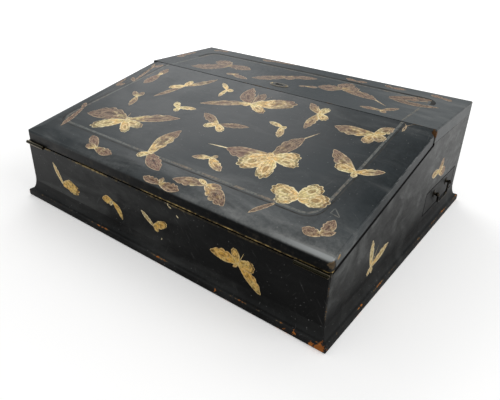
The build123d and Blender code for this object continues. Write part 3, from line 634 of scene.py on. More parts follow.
walls_lacquer, shader, place = new_material("Walls lacquer", walls_gloss)
x, y, z = split(place)
wide = abs(x) - (half_width - wall)
deep = abs(y) - (case_back - wall)
outside = span(most(wide, deep), 0.0004, 0.0008)
corners = edge_nearness(place, (0, 0, 0), (half_width, case_back, 1.0), 0.0028)
_, up_slope, above = slope_place(place)
below_rim = -(board + lid_gap) - above
on_front_wall = span(y, case_front + 0.004, case_front + 0.002)
rim = span(below_rim, 0.0024, 0.0007)
rubbed = span(noise(place, 34.0, 5.0, 0.65), 0.38, 0.58)
rubbed = rubbed * (span(x, 0.07, -0.02) * 0.8 + 0.2)
gilded = rim * rubbed * on_front_wall
on_side = span(wide, wall - 0.0016, wall - 0.0002)

# %% Lacquer of the walls
# Painted reflection: the front is hazier and paler to the left and stays black to the right,
# and the sides are paler towards the back and away from the base
front_sheen = span(x, 0.15, -0.16) * 0.85 + 0.08
side_sheen = (span(y, -0.1, 0.12) * 1.1 + 1.55) * span(z, 0.008, 0.055)
cloud = mix(on_side, front_sheen, side_sheen)
# Painted sheen: pale streaks on the sides, strongest towards the back and above the base
side_sheen_streaks = noise(stretch(place, (0.5, 0, 0), (60, 42, 80)), 1.0, 6.0, 0.74)
side_sheen_streaks = span(side_sheen_streaks, 0.44, 0.64) * span(z, 0.02, 0.06)
side_sheen_streaks = side_sheen_streaks * (span(y, -0.06, 0.12) * 0.55 + 0.22)
lacquer = add_lacquer(place, corners, 0.36, 0.003, cloud, gilded=gilded * 0.7, sheen=side_sheen_streaks * on_side)
# Painted shade: the lacquer is darkened in the seam round the drawer and under the lid's rim
across_seam = abs(y - drawer_middle.y) - drawer_half.y
up_seam = abs(z - drawer_middle.z) - drawer_half.z
seam_shade = span(most(across_seam, up_seam), 0.0019, 0.0009)
seam_shade = seam_shade * span(x, half_width - 0.002, half_width - 0.0002)
under_lid_shade = span(below_rim, 0.002, 0.0009) * (1.0 - on_front_wall)
seam_shade = most(seam_shade, under_lid_shade * span(y, joint_y + 0.002, joint_y))
black = tint(seam_shade, lacquer[0], painted_shade_black)
bare = add_wood(place, (8, 160, 160))
colour = tint(outside, bare[0], black)
rough, height = (mix(outside, under, over) for under, over in zip(bare[1:], lacquer[1:]))
rough = seam_shade * 0.5 + rough
finish_surface(shader, colour, rough, height)

# %% Lacquer of the base moulding
plinth_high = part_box("plinth_right")[1]
moulding_reach = plinth_high.x - half_width
moulding_gloss = 0.11
nose_height = 0.0085
bare_foot = Vector((plinth_high.x - 0.006, -plinth_high.y + 0.002, 0.003))

plinth_lacquer, shader, place = new_material("Moulding lacquer", moulding_gloss)
nose_middle = Vector((0, 0, nose_height / 2))
nose_half = Vector((plinth_high.x, plinth_high.y, nose_height / 2))
near = edge_nearness(place, nose_middle, nose_half, 0.003)
# How far each bare spot lies to the left of the front right foot, how far up, and its radius
spots = [
    (bare_foot + Vector((-left, 0, up_by)), radius)
    for left, up_by, radius in (
        (0, 0, 0.0056), (0.008, 0, 0.0036), (0.024, 0.002, 0.0028),
        (0.034, 0.001, 0.0022), (0.110, 0.002, 0.0026), (0.121, 0.003, 0.0016),
    )
]
finish_surface(shader, *add_lacquer(place, near, 0.43, 0.0035, 0.35, spots))

# %% Lacquer of the drawer's front
drawer_lacquer, shader, place = new_material("Drawer front lacquer", walls_gloss)
x, y, z = split(place)
outside = span(x, drawer_high.x - 0.0006, drawer_high.x - 0.0003)
near = edge_nearness(place, drawer_middle, drawer_half, 0.0012)
lacquer = add_lacquer(place, near, 0.26, 0.003, 1.0)
# Painted shade: the drawer's front is darkened towards its edges, beside the seam
black = tint(span(near, 0.25, 0.75), lacquer[0], painted_shade_black)
bare = add_wood(place, (160, 8, 160))
colour = tint(outside, bare[0], black)
rough, height = (mix(outside, under, over) for under, over in zip(bare[1:], lacquer[1:]))
finish_surface(shader, colour, rough, height)
print("lacquers ready")

# %% [markdown]
# ## Metals and leather
# The brass has not been polished for a long time: it is brown in its hollows and bright only in
# places, along the escutcheon's rim and in two painted highlights along each hinge's barrel.
# Hidden lock parts are iron. The writing surface is thin leather, darkened by use, with a tooled
# line round it.


# %% Brass and iron
def metal_material(name, bright, side_sheen_streaks, roughness, patch=700.0, share=0.5):
    """Metal with tarnish in patches: a higher share leaves more of it bright."""
    material, shader, place = new_material(name)
    spots = noise(place, patch, 4.0, 0.65)
    cloud = noise(place, patch * 0.25, 2.0)
    tarnish = span(cloud * 0.5 + spots * 0.5, share - 0.12, share + 0.14)
    colour = tint(tarnish, bright, side_sheen_streaks)
    rough = tarnish * 0.22 + roughness
    shader.inputs["Metallic"].default_value = 1.0
    brushed = noise(stretch(place, scale=(60, 900, 900)), 1.0, 2.0)
    finish_surface(shader, colour, rough, spots * 0.5 + brushed, 0.15, 0.0002)
    return material


bright_brass, brown_brass = (0.66, 0.50, 0.24, 1), (0.15, 0.10, 0.045, 1)
brass = metal_material("Aged brass", bright_brass, brown_brass, 0.3)
dark_brass = metal_material(
    "Blackened brass", (0.15, 0.12, 0.08, 1), (0.016, 0.014, 0.012, 1), 0.20, 500.0, 0.40
)
iron = metal_material("Iron", (0.36, 0.35, 0.34, 1), (0.15, 0.09, 0.06, 1), 0.38)


def brass_bright_on_mask(name, mask_of, worn, dark):
    """Blackened brass that is bright where the mask is 1."""
    material, shader, place = new_material(name)
    mask = mask_of(place)
    patchy = noise(place, 420.0, 3.0) - 0.5
    mask = span(patchy * 0.9 + mask, 0.42, 0.75)
    colour = tint(mask, tint(noise(place, 260.0, 3.0), dark, worn), worn)
    colour = tint(1.0 - mask, colour, dark)
    rough = 0.42 - mask * 0.14
    shader.inputs["Metallic"].default_value = 1.0
    finish_surface(shader, colour, rough, noise(place, 600.0, 3.0), 0.15, 0.0002)
    return material


# %% Hinges, with painted highlights along the top and the bottom of their barrels
pin_low, pin_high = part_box("hinge_right_pin")
pin_axis = (pin_low + pin_high) / 2


def barrel_glints(place):
    """1 along two lines of the hinge's barrel, found by their angle round the pin."""
    _, y, z = split(vectors("SUBTRACT", place, pin_axis))
    angle = maths("ARCTAN2", z, y * -1.0)
    line = None
    # Each line is a painted highlight
    for degrees in (82, -28):
        off = abs(angle - math.radians(degrees))
        line = most(line, span(off, 0.34, 0.14))
    return line


hinge_brass = brass_bright_on_mask(
    "Hinge brass", barrel_glints, (0.60, 0.49, 0.34, 1), (0.030, 0.027, 0.016, 1)
)

# %% Escutcheon, bright along its rim
plate_low, plate_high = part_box("escutcheon")
plate_middle, plate_half = (plate_low + plate_high) / 2, (plate_high - plate_low) / 2


def plate_rim(place):
    """1 near the rim of the oval plate."""
    share = vectors("SUBTRACT", place, plate_middle)
    share = vectors("DIVIDE", share, Vector((plate_half.x, plate_half.y, 1.0)))
    flat = vectors("MULTIPLY", share, (1.0, 1.0, 0.0))
    return span(length_of(flat), 0.82, 0.92)


plate_brass = brass_bright_on_mask(
    "Escutcheon brass", plate_rim, (0.30, 0.24, 0.17, 1), (0.060, 0.054, 0.044, 1)
)

# %% Leather of the writing surface
lining_low, lining_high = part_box("lid_lining")
leather, shader, place = new_material("Writing leather")
cells = first("ShaderNodeTexVoronoi", {"Vector": place, "Scale": 900.0})
creases = noise(place, 240.0, 4.0, 0.6)
wear = span(noise(place, 16.0, 4.0), 0.4, 0.72)
colour = tint(wear, (0.13, 0.018, 0.014, 1), (0.24, 0.06, 0.035, 1))
colour = tint(creases * 0.35, colour, (0.05, 0.012, 0.01, 1))
lining_middle = (lining_low + lining_high) / 2
lining_half = Vector((lining_high.x, (lining_high.y - lining_low.y) / 2 / math.cos(tilt), 0.0))
inset = edge_nearness(place, lining_middle, lining_half, 0.02, tilt)
# The nearness falls from 1 at the rim to 0 at 20 mm in, so a narrow band of it is a tooled line
line = span(inset, 0.62, 0.66) * span(inset, 0.76, 0.72)
line = line * span(noise(place, 120.0, 3.0), 0.36, 0.5)
colour = tint(line * 0.75, colour, (0.5, 0.34, 0.12, 1))
rough = creases * 0.2 + 0.42
height = creases - cells * 0.7 - line * 0.8
finish_surface(shader, colour, rough, height, 0.35, 0.0003)

# %% [markdown]
# ## Gilding
# The butterflies are thin raised gold over a brown size, drawn with a fine brush. Each wing has
# its own map: u runs from the body to the tip and v across the wing, so the drawn veins fan out
# from the body as they do on the object. Four attributes say how bright a wing still is, how red
# its ground has turned, which wing it is, so that no two wear alike, and how far a point lies
# from the wing's rim.

# %% Drawn wing pattern
vein_count = 5.0
wing_group, given, gives = new_group(
    "Drawn wing",
    [("Map", VECTOR, (0, 0, 0)), ("Place", VECTOR, (0, 0, 0)), ("Edge", FLOAT, 1.0)],
    [(label, FLOAT) for label in ("Rim", "Veins", "Rings", "Eyes", "Gaps", "Hatching")],
)
u, v, seed = split(given["Map"])
wobble = noise(given["Place"], 300.0, 2.0) - 0.5
pressure = noise(given["Place"], 110.0, 2.0) * 1.1 + 0.2
rim = span(given["Edge"] - pressure, 0.2, -0.1)
link(rim, gives["Rim"])
ray = maths("FRACT", (wobble * 0.1 + v) * vein_count) - 0.5
vein = span(abs(ray), 0.34, 0.44)
link(vein, gives["Veins"])
rings, eyes = None, None
for middle, size in ((0.74, 0.30), (0.47, 0.20)):
    away = length_of(combine(ray, (u - middle) * 2.6))
    rings = most(rings, span(abs(away - size), 0.1, 0.05))
    eyes = most(eyes, span(away, size * 0.8, size * 0.55))
# One long mark in the middle of the wing, further out on some wings than on others
middle = maths("FRACT", seed * 0.37) * 0.16 + 0.42
mark = combine((u - middle) / 0.2, (v - 0.5) / 0.2)
away = wobble * 0.8 + length_of(mark)
clear = span(away, 1.0, 1.3)
link(most(rings * clear, span(abs(away - 1.0), 0.26, 0.12)), gives["Rings"])
link(most(eyes * clear, span(away, 0.85, 0.55)), gives["Eyes"])
link(span(u, 0.83, 0.86) * (1.0 - rim) * (1.0 - vein), gives["Gaps"])
fine = combine(u, v, seed)
hatch = noise(stretch(fine, scale=(2.5, 34, 1)), 1.0, 2.0)
link(span(hatch, 0.38, 0.62), gives["Hatching"])

# %% Gold of the wings
gilding, shader, place = new_material("Gilding", lid_gloss)
wing_map = first("ShaderNodeUVMap", uv_map="Wing")
bright, rust, seed, edge = (
    wire("ShaderNodeAttribute", attribute_name=name).outputs["Fac"]
    for name in ("bright", "rust", "seed", "edge")
)
map_u, map_v, _ = split(wing_map)
wing_map = combine(map_u, map_v, seed)
drawn = use(wing_group, Map=wing_map, Place=place, Edge=edge)
# Gold leaf over the brown size, from an orange to a greenish yellow
fresh = 1.0 - span(bright, 0.94, 1.0) * 0.6
hue = span(noise(place, 75.0, 2.0), 0.38, 0.62) * fresh
light = span(noise(place, 330.0, 3.0, 0.65), 0.3, 0.6)
deep_gold = tint(hue, (0.36, 0.17, 0.032, 1), (0.32, 0.22, 0.05, 1))
high_gold = tint(hue, (0.95, 0.54, 0.085, 1), (0.82, 0.68, 0.24, 1))
gold = tint(light, deep_gold, high_gold)
gold = tint(fresh * 0.42 - 0.18, gold, (0.74, 0.6, 0.4, 1))
cream = tint(light, (0.66, 0.5, 0.26, 1), (0.95, 0.84, 0.56, 1))
# The freshest wings are nearly plain gold, as if their drawing were still under it
engraved = tint(drawn["Hatching"] * 0.35 * fresh, gold, cream)
engraved = tint(drawn["Veins"] * 0.5 * fresh, engraved, (0.17, 0.085, 0.025, 1))
engraved = tint(drawn["Eyes"] * 0.5 * fresh, engraved, (0.14, 0.065, 0.02, 1))
engraved = tint(drawn["Gaps"] * 0.75, engraved, (0.05, 0.028, 0.014, 1))
lines = most(drawn["Rim"], drawn["Rings"])
line_mark = most(drawn["Rim"] * 0.85, drawn["Rings"] * 0.55)
engraved = tint(line_mark * fresh, engraved, cream)

# %% What is left where the gold has gone
# The brown or red size is seen, and pale lines that held best
brown = tint(drawn["Hatching"], (0.06, 0.042, 0.03, 1), (0.185, 0.118, 0.075, 1))
red = tint(drawn["Hatching"], (0.13, 0.062, 0.046, 1), (0.33, 0.17, 0.125, 1))
ground = tint(rust, brown, red)
pale_line = tint(light, (0.3, 0.21, 0.13, 1), (0.66, 0.5, 0.32, 1))
faded = tint(drawn["Eyes"] * 0.35, ground, (0.045, 0.022, 0.014, 1))
faded = tint(most(drawn["Veins"] * 0.4, drawn["Rings"] * 0.4), faded, pale_line)
faded = tint(drawn["Rim"] * 0.9, faded, pale_line)

# %% Gold that was kept and gold that was lost
# Near the body even a worn wing keeps more of its gold
patchy = noise(place, 130.0, 4.0, 0.6) - 0.5
left = patchy * 0.9 + ((1.0 - map_u) * 0.3 + bright)
kept = span(left, 0.5, 0.86)
colour = tint(kept, faded, engraved)
lost = (1.0 - bright) * 0.14 + noise(place, 420.0, 3.0, 0.7)
lost = span(lost, 0.62, 0.76)
colour = tint(lost * 0.75, colour, (0.03, 0.032, 0.032, 1))
shine = kept * (1.0 - lost)
link(shine * 0.28, shader.inputs["Metallic"])
rough = noise(place, 300.0, 2.0) * 0.2 + 0.36
height = lines * 0.8 - lost
finish_surface(shader, colour, rough, height, 0.3, 0.0002)

# %% Border lines, one faded and one dark
border_gilt, shader, place = new_material("Border gilding", lid_gloss)
fade = noise(place, 38.0, 4.0, 0.6)
colour = tint(span(fade, 0.46, 0.66), (0.155, 0.16, 0.145, 1), (0.26, 0.2, 0.14, 1))
flecks = span(noise(place, 300.0, 4.0, 0.7), 0.44, 0.62)
colour = tint(flecks * 0.7, colour, slate_cloudy)
rough = fade * 0.2 + 0.36
finish_surface(shader, colour, rough, flecks, 0.15, 0.0001)


def size_material(name, gloss):
    """The dark size that the gold of a border once lay on."""
    material, shader, place = new_material(name, gloss)
    fade = noise(place, 60.0, 4.0, 0.6)
    colour = tint(span(fade, 0.36, 0.62), (0.018, 0.015, 0.012, 1), (0.052, 0.052, 0.048, 1))
    rough = fade * 0.3 + 0.4
    finish_surface(shader, colour, rough, fade, 0.15, 0.0001)
    return material


border_dark = size_material("Border size", 0.10)
border_faint = size_material("Faint border size", 0.19)
print("finishes", [material.name for material in bpy.data.materials])

# %% [markdown]
# ## Boards with softened edges
# A plane leaves a real board with edges that are never quite sharp, and lacquer rounds them a
# little more. The solids' meshes are copied, their doubles merged and flat faces joined, and the
# long sharp edges get a narrow bevel. Normals weighted by face area then keep the flat faces
# flat and let the bevel catch a line of light. Short edges keep their corner, because a bevel
# there would only add faces that nobody sees.


# %% Making and placing a piece
def evaluated_mesh(name, source):
    """A mesh made from an object's evaluated shape."""
    depsgraph = bpy.context.evaluated_depsgraph_get()
    mesh = bpy.data.meshes.new_from_object(source.evaluated_get(depsgraph))
    mesh.name = name
    return mesh


def carrier_of(name, mesh):
    """An object to hang modifiers on while a piece is made."""
    carrier = bpy.data.objects.new(name + "_carrier", mesh)
    bpy.context.scene.collection.objects.link(carrier)
    return carrier


def place_piece(name, mesh, material, body, slot, *nodes):
    """Makes the object, gives it its finish, and ties it to its body."""
    piece = bpy.data.objects.new(name, mesh)
    bpy.context.scene.collection.objects.link(piece)
    mesh.materials.clear()
    mesh.materials.append(material)
    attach(piece, body)
    if nodes:
        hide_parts(*nodes)
    print(name, len(mesh.polygons), "faces on", body)
    return piece


# %% Copies of the solids' meshes
weld = 0.000004
boolean_weld = 0.000015
fine_weld = 0.000001


def join_flat(shape, **limits):
    """Joins the faces that lie in one plane."""
    flat = math.radians(0.6)
    bmesh.ops.dissolve_limit(shape, angle_limit=flat, verts=shape.verts, edges=shape.edges, **limits)


def welded_copy(node):
    """A solid's mesh with its doubles merged."""
    shape = bmesh.new()
    shape.from_mesh(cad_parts[node].data)
    bmesh.ops.remove_doubles(shape, verts=shape.verts, dist=weld)
    return shape


def merged_copy(node):
    """A solid's mesh with its doubles merged and its flat faces joined."""
    shape = welded_copy(node)
    join_flat(shape, delimit={"NORMAL"})
    return shape


def from_bmesh(name, shape):
    mesh = bpy.data.meshes.new(name)
    shape.to_mesh(mesh)
    shape.free()
    return mesh


# %% Booleans
def cut_or_join(name, shapes, operation):
    """The boolean of the first bmesh with the others, as a new bmesh."""
    carriers = []
    for shape in shapes:
        bmesh.ops.triangulate(shape, faces=shape.faces)
        carriers.append(carrier_of(name, from_bmesh(name, shape)))
    for other in carriers[1:]:
        step = carriers[0].modifiers.new(operation, "BOOLEAN")
        step.operation = operation
        step.solver = "EXACT"
        step.object = other
    result = bmesh.new()
    result.from_mesh(evaluated_mesh(name, carriers[0]))
    for carrier in carriers:
        bpy.data.objects.remove(carrier)
    bmesh.ops.remove_doubles(result, verts=result.verts, dist=boolean_weld)
    join_flat(result)
    # A boolean can leave a fin: a face that hangs by one edge from two others
    fins = [
        face
        for face in result.faces
        if any(edge.is_boundary for edge in face.edges)
        and any(len(edge.link_faces) > 2 for edge in face.edges)
    ]
    bmesh.ops.delete(result, geom=fins, context="FACES")
    print(name, "open edges", sum(1 for edge in result.edges if len(edge.link_faces) != 2))
    return result


# %% Soft edges
most_growth = 0.0003


def soften(shape, name, width, share=lambda edge: 1.0, shortest=0.012, steepest=40.0, segments=2):
    """Bevels the long sharp edges, each by its share of the width, and shades the mesh."""
    weight = shape.edges.layers.float.new("bevel_weight_edge")
    for edge in shape.edges:
        sharp = len(edge.link_faces) != 2 or edge.calc_face_angle(0.0) > math.radians(steepest)
        bevelled = sharp and edge.is_convex and edge.calc_length() > shortest
        edge[weight] = share(edge) if bevelled else 0.0
        edge.smooth = not sharp or edge[weight] > 0.0
    for face in shape.faces:
        face.smooth = True
    carrier = carrier_of(name, from_bmesh(name, shape))
    if width:
        bevel = carrier.modifiers.new("Bevel", "BEVEL")
        bevel.width = width
        bevel.segments = segments
        bevel.limit_method = "WEIGHT"
        bevel.use_clamp_overlap = False
        bevel.loop_slide = False
    normals = carrier.modifiers.new("Normals", "WEIGHTED_NORMAL")
    normals.keep_sharp = True
    grown = [carrier.bound_box[i][axis] for i in (0, 6) for axis in range(3)]
    finished = evaluated_mesh(name, carrier)
    bpy.data.objects.remove(carrier)
    for axis in range(3):
        coordinates = [vertex.co[axis] for vertex in finished.vertices]
        for before, after in ((grown[axis], min(coordinates)), (grown[axis + 3], max(coordinates))):
            if abs(before - after) > most_growth:
                print("  bevel moved the box of", name, "on axis", axis, "by", before - after)
    return finished


# %% Walls in one skin of lacquer
def wall_share(edge):
    """Upright outer corners are rounder than the other edges."""
    upright = abs((edge.verts[0].co - edge.verts[1].co).normalized().z) > 0.99
    at_corner = all(
        abs(vertex.co.x) > half_width - 0.0001 and abs(vertex.co.y) > case_back - 0.0001
        for vertex in edge.verts
    )
    return 1.0 if upright and at_corner else 0.4


wall_nodes = ("front_board", "back_board", "left_side", "right_side")
walls = cut_or_join("Walls", [merged_copy(node) for node in wall_nodes], "UNION")
walls_mesh = soften(walls, "Walls", 0.0013, wall_share, shortest=0.02, segments=3)
place_piece("Walls", walls_mesh, walls_lacquer, "case", "black_lacquer", *wall_nodes)

# %% [markdown]
# ## The lid and its lost corner
# A knock has broken a piece from the lid's back right corner. The break is a rough wedge, wider
# at the face than below, cut out with a boolean. Its bare wood comes from a spot in the lacquer.
# The rolled edges are arcs in the solid and facets in its mesh, so their normals are set from the
# arc itself, and the reflections run over them without a step.


# %% Places on the lid's face
def on_slope(x, up_slope, depth=0.0):
    """A place on the lid's flat face, with up_slope from its front edge and depth below it."""
    return Vector((x, case_front, front_top)) + slope_up * up_slope - slope_out * depth


def wedge(points):
    """The closed hull of a few points."""
    shape = bmesh.new()
    for point in points:
        shape.verts.new(point)
    hull = bmesh.ops.convex_hull(shape, input=shape.verts)
    bmesh.ops.delete(shape, geom=hull["geom_interior"], context="VERTS")
    return shape


# %% The lid's rolled edges
shoulder_width = 0.018
shoulder_rim = 0.0018
shoulder_drop = 0.0022
roll_reach = shoulder_width - shoulder_rim
face_slack = 0.00006
rim_slack = 0.00005
roll_radius = (roll_reach**2 + shoulder_drop**2) / (2 * shoulder_drop)


def on_lid(x, up_slope):
    """A point on the lid's face, and the way out, from x and the distance up the slope."""
    edge = min(half_width - abs(x), up_slope)
    into_roll = max(0.0, min(shoulder_width - edge, roll_reach))
    drop = roll_radius - math.sqrt(roll_radius**2 - into_roll**2)
    return on_slope(x, up_slope, drop), slope_out


def true_rolls(mesh):
    """Gives the rolled edges the normals of the true roll, so that its facets don't show."""
    normals = [corner.vector.copy() for corner in mesh.corner_normals]
    changed = 0
    for face in mesh.polygons:
        spots = [mesh.vertices[index].co for index in face.vertices]
        ups = [(spot - lid_edge_place).dot(slope_up) for spot in spots]
        away = [(spot - on_lid(spot.x, up)[0]).length for spot, up in zip(spots, ups)]
        edges = [min(half_width - abs(spot.x), up) for spot, up in zip(spots, ups)]
        if max(away) > face_slack or min(edges) < shoulder_rim - rim_slack:
            continue
        middle, up = sum(spots, Vector()) / len(spots), sum(ups) / len(ups)
        aside = Vector((math.copysign(1.0, middle.x), 0, 0))
        way = aside if half_width - abs(middle.x) < up else -slope_up
        for loop, edge in zip(face.loop_indices, edges):
            lean = math.asin(min(max(shoulder_width - edge, 0.0), roll_reach) / roll_radius)
            normals[loop] = slope_out * math.cos(lean) + way * math.sin(lean)
            changed += 1
    mesh.normals_split_custom_set(normals)
    print("corners on the true roll", changed)


# %% Lid
over = 0.002
beyond = half_width + over
end = slope_length + over
# Where the break meets the side and the back edge: over the face, and 8 and 17 mm under it
break_points = [
    on_slope(beyond, 0.1945, -over), on_slope(0.1935, end, -over), on_slope(beyond, end, -over),
    on_slope(0.1962, 0.1985, -over),
    on_slope(beyond, 0.1955, 0.008), on_slope(0.1945, end, 0.008),
    on_slope(beyond, 0.1975, 0.017), on_slope(0.1960, end, 0.017), on_slope(beyond, end, 0.017),
]
lid = cut_or_join("Lid", [merged_copy("lid_board"), wedge(break_points)], "DIFFERENCE")
lid_mesh = soften(lid, "Lid", 0.0005)
true_rolls(lid_mesh)
place_piece("Lid", lid_mesh, lid_lacquer, "lid", "black_lacquer", "lid_board")

# %% Flat top
top_mesh = soften(merged_copy("top_board"), "Flat_top", 0.0004)
place_piece("Flat_top", top_mesh, top_lacquer, "case", "black_lacquer", "top_board")

# %% Drawer's front
drawer_mesh = soften(merged_copy("drawer_front"), "Drawer_front", 0.0004)
place_piece(
    "Drawer_front", drawer_mesh, drawer_lacquer, "drawer", "black_lacquer", "drawer_front"
)

# %% [markdown]
# ## The base moulding
# The moulding is one section run along each side of the case and mitred at the corners, so it
# follows a rule: Geometry Nodes sweep the section along a line and then slide each end outwards
# by the point's own depth, which cuts the mitre. A bevelled box could not give the cove, and
# modelling four lengths by hand would let them drift apart. Many coats of lacquer have filled
# the joint with the wall, so the cove's upper end runs out to nothing on the wall.


# %% Helpers for geometry trees
def new_geometry_tree(name, inputs):
    """A geometry tree with named inputs after its geometry."""
    tree = bpy.data.node_groups.new(name, "GeometryNodeTree")
    trees.append(tree)
    for way in ("INPUT", "OUTPUT"):
        tree.interface.new_socket("Geometry", in_out=way, socket_type="NodeSocketGeometry")
    for label, kind in inputs:
        tree.interface.new_socket(label, in_out="INPUT", socket_type=kind)
    return tree, wire("NodeGroupInput").outputs


def sweep(path, section, **inputs):
    """A section swept along a path, with closed ends."""
    inputs = {"Curve": path, "Profile Curve": section, "Fill Caps": True, **inputs}
    return first("GeometryNodeCurveToMesh", inputs)


def moved(geometry, place, turn=(0.0, 0.0, 0.0)):
    """Geometry turned about the origin and then moved to its place."""
    inputs = {"Geometry": geometry, "Translation": place, "Rotation": turn}
    return first("GeometryNodeTransform", inputs)


def finish_tree(geometry, material):
    """Every tree ends in real geometry with its material."""
    real = first("GeometryNodeRealizeInstances", {"Geometry": geometry})
    done = first("GeometryNodeSetMaterial", {"Geometry": real, "Material": material})
    wire("NodeGroupOutput", {"Geometry": done})


# %% Running a tree
def run_tree(name, tree, points, edges, values):
    """Runs a tree on a few points and edges and returns its mesh."""
    start = bpy.data.meshes.new(name)
    start.from_pydata(points, edges, [])
    carrier = carrier_of(name, start)
    modifier = carrier.modifiers.new("Tree", "NODES")
    modifier.node_group = tree
    sockets = {item.name: item.identifier for item in tree.interface.items_tree}
    for label, value in values.items():
        modifier[sockets[label]] = value
    mesh = evaluated_mesh(name, carrier)
    bpy.data.objects.remove(carrier)
    shape = bmesh.new()
    shape.from_mesh(mesh)
    bmesh.ops.remove_doubles(shape, verts=shape.verts, dist=fine_weld)
    bmesh.ops.recalc_face_normals(shape, faces=shape.faces)
    shape.to_mesh(mesh)
    shape.free()
    return mesh


def shade_smooth(mesh, angle=35.0):
    """Smooth shading, with the edges above an angle kept sharp."""
    for face in mesh.polygons:
        face.use_smooth = True
    mesh.set_sharp_from_angle(angle=math.radians(angle))
    return mesh


def closed_loop(count):
    """Edges that join points into a ring."""
    return [(i, (i + 1) % count) for i in range(count)]


def quarter(centre, radius_a, radius_b, start, stop, steps):
    """Points of part of an ellipse, with angles in degrees."""
    for step in range(steps + 1):
        angle = math.radians(start + (stop - start) * step / steps)
        yield centre[0] + radius_a * math.cos(angle), centre[1] + radius_b * math.sin(angle)


# %% Section of the moulding
feather_height = 0.024
sunk = 0.0002
nose_radius = 0.0025
foot_radius = 0.0015
cove_start = moulding_reach - nose_radius

section = [(-sunk, 0.0)]
section += quarter((moulding_reach - foot_radius, foot_radius), foot_radius, foot_radius, -90, 0, 4)
section += quarter((cove_start, nose_height - nose_radius), nose_radius, nose_radius, 0, 90, 6)
cove_width, cove_height = cove_start + sunk, feather_height - nose_height
cove = list(quarter((cove_start, feather_height), cove_width, cove_height, -90, -180, 14))
section += cove[1:]
# A curve's section turns its x to -Y and its y to -Z, so the heights are given downwards
section_points = [(depth, -height, 0.0) for depth, height in section]
print("the section has", len(section_points), "points")

# %% Tree of the mitred moulding
moulding_tree, given = new_geometry_tree(
    "Mitred moulding",
    [("Half length", FLOAT), ("Turn", VECTOR), ("Face", VECTOR), ("Material", "NodeSocketMaterial")],
)
profile = first("GeometryNodeMeshToCurve", {"Mesh": given["Geometry"]})
half = given["Half length"]
ends = {"Start": combine(half * -1.0), "End": combine(half)}
swept = sweep(first("GeometryNodeCurvePrimitiveLine", ends), profile)
x, y, z = split(first("GeometryNodeInputPosition"))
slide = combine(maths("SIGN", x) * (y * -1.0))
mitred = first("GeometryNodeSetPosition", {"Geometry": swept, "Offset": slide})
finish_tree(moved(mitred, given["Face"], given["Turn"]), given["Material"])

# %% The four lengths of moulding
for side, degrees in (("front", 0), ("right", 90), ("back", 180), ("left", 270)):
    turn = math.radians(degrees)
    across = degrees % 180 == 0
    out = Vector((math.sin(turn), -math.cos(turn), 0))
    values = {
        "Half length": half_width if across else case_back,
        "Turn": (0.0, 0.0, turn),
        "Face": out * (case_back if across else half_width),
        "Material": plinth_lacquer,
    }
    name = "Moulding_" + side
    mesh = run_tree(name, moulding_tree, section_points, closed_loop(len(section_points)), values)
    shade_smooth(mesh, 40)
    place_piece(name, mesh, plinth_lacquer, "case", "black_lacquer", "plinth_" + side)

# %% [markdown]
# ## Gilt butterflies
# Each butterfly is a root point and a few wings. A wing is a leaf, pointed at both ends, or a
# fan with a lobed edge, or a thin tail. It is made as a very thin closed shell on a grid of its
# own u and v, which also become its map, and every grid point is laid on the board it is painted
# on: over the lid's rolled edges it bends with them. A decal image would be flat and would have
# one fixed resolution, while these stay crisp and stand four hundredths of a millimetre proud.


# %% The painted faces
def on_top(x, y):
    return Vector((x, y, case_top)), Vector((0, 0, 1))


def on_front(x, z):
    return Vector((x, case_front, z)), Vector((0, -1, 0))


def on_right(y, z):
    return Vector((half_width, y, z)), Vector((1, 0, 0))


def on_left(y, z):
    return Vector((-half_width, y, z)), Vector((-1, 0, 0))


# %% Kinds of wing
def leaf(x, y, width, bright=0.5, rust=0.5, bend=0.0):
    """A wing that ends in a point at x, y. All sizes are in millimetres."""
    return "leaf", (x, y), width, bright, rust, bend


def fan(x, y, width, bright=0.6, rust=0.4, bend=0.0):
    """A wing with a lobed end."""
    return "fan", (x, y), width, bright, rust, bend


def tail(x, y, width=2.0, bright=0.6, rust=0.3, bend=0.0):
    """A tail, a feeler or a stalk."""
    return "tail", (x, y), width, bright, rust, bend


def at(x, y, *wings):
    """A butterfly: its root, where its wings meet, and the wings."""
    return (x, y), wings


# %% Outline of a wing
lobes = 3
scallops = 4.5


def cusp(turns):
    """1 in the narrow notches between two rounded scallops, and 0 on the scallops."""
    return 1 - abs(math.sin(math.pi * turns)) ** 0.6


def wing_outline(kind, u, v, trailing):
    """How far along and how far across the wing a point of its grid lies, each up to 1.

    A tail thins towards its end, a leaf is pointed at both ends and scalloped on its trailing
    side, and a fan widens to a lobed end.
    """
    t = 2 * v - 1
    if kind == "tail":
        return u, (1 - 0.8 * u) * math.sin(math.pi * min(1.0, 0.15 + u * 0.85)) ** 0.35 * t
    if kind == "leaf":
        width = math.sin(math.pi * (0.14 + 0.86 * u) ** 1.3) ** 0.8
        if t * trailing > 0:
            width *= 1 - 0.34 * cusp(scallops * u) * min(1.0, 3 * u) - 0.08 * math.sin(math.pi * u)
        return u, width * t
    along = u * (1 - 0.28 * abs(t) ** 2.5 - 0.13 * cusp(lobes * v) * u**3)
    width = 0.34 + 0.66 * math.sin(math.pi / 2 * min(1.0, u / 0.75)) ** 0.9
    width *= 1 - 0.12 * cusp(2.5 * u)
    return along, width * t


# %% One wing as a thin closed shell
wing_lift = 0.00004
wing_lift_step = 0.000003
wing_sink = 0.00005
row_length = 1.3
column_width = 1.2
edge_waviness = 0.05
edge_waves = 9


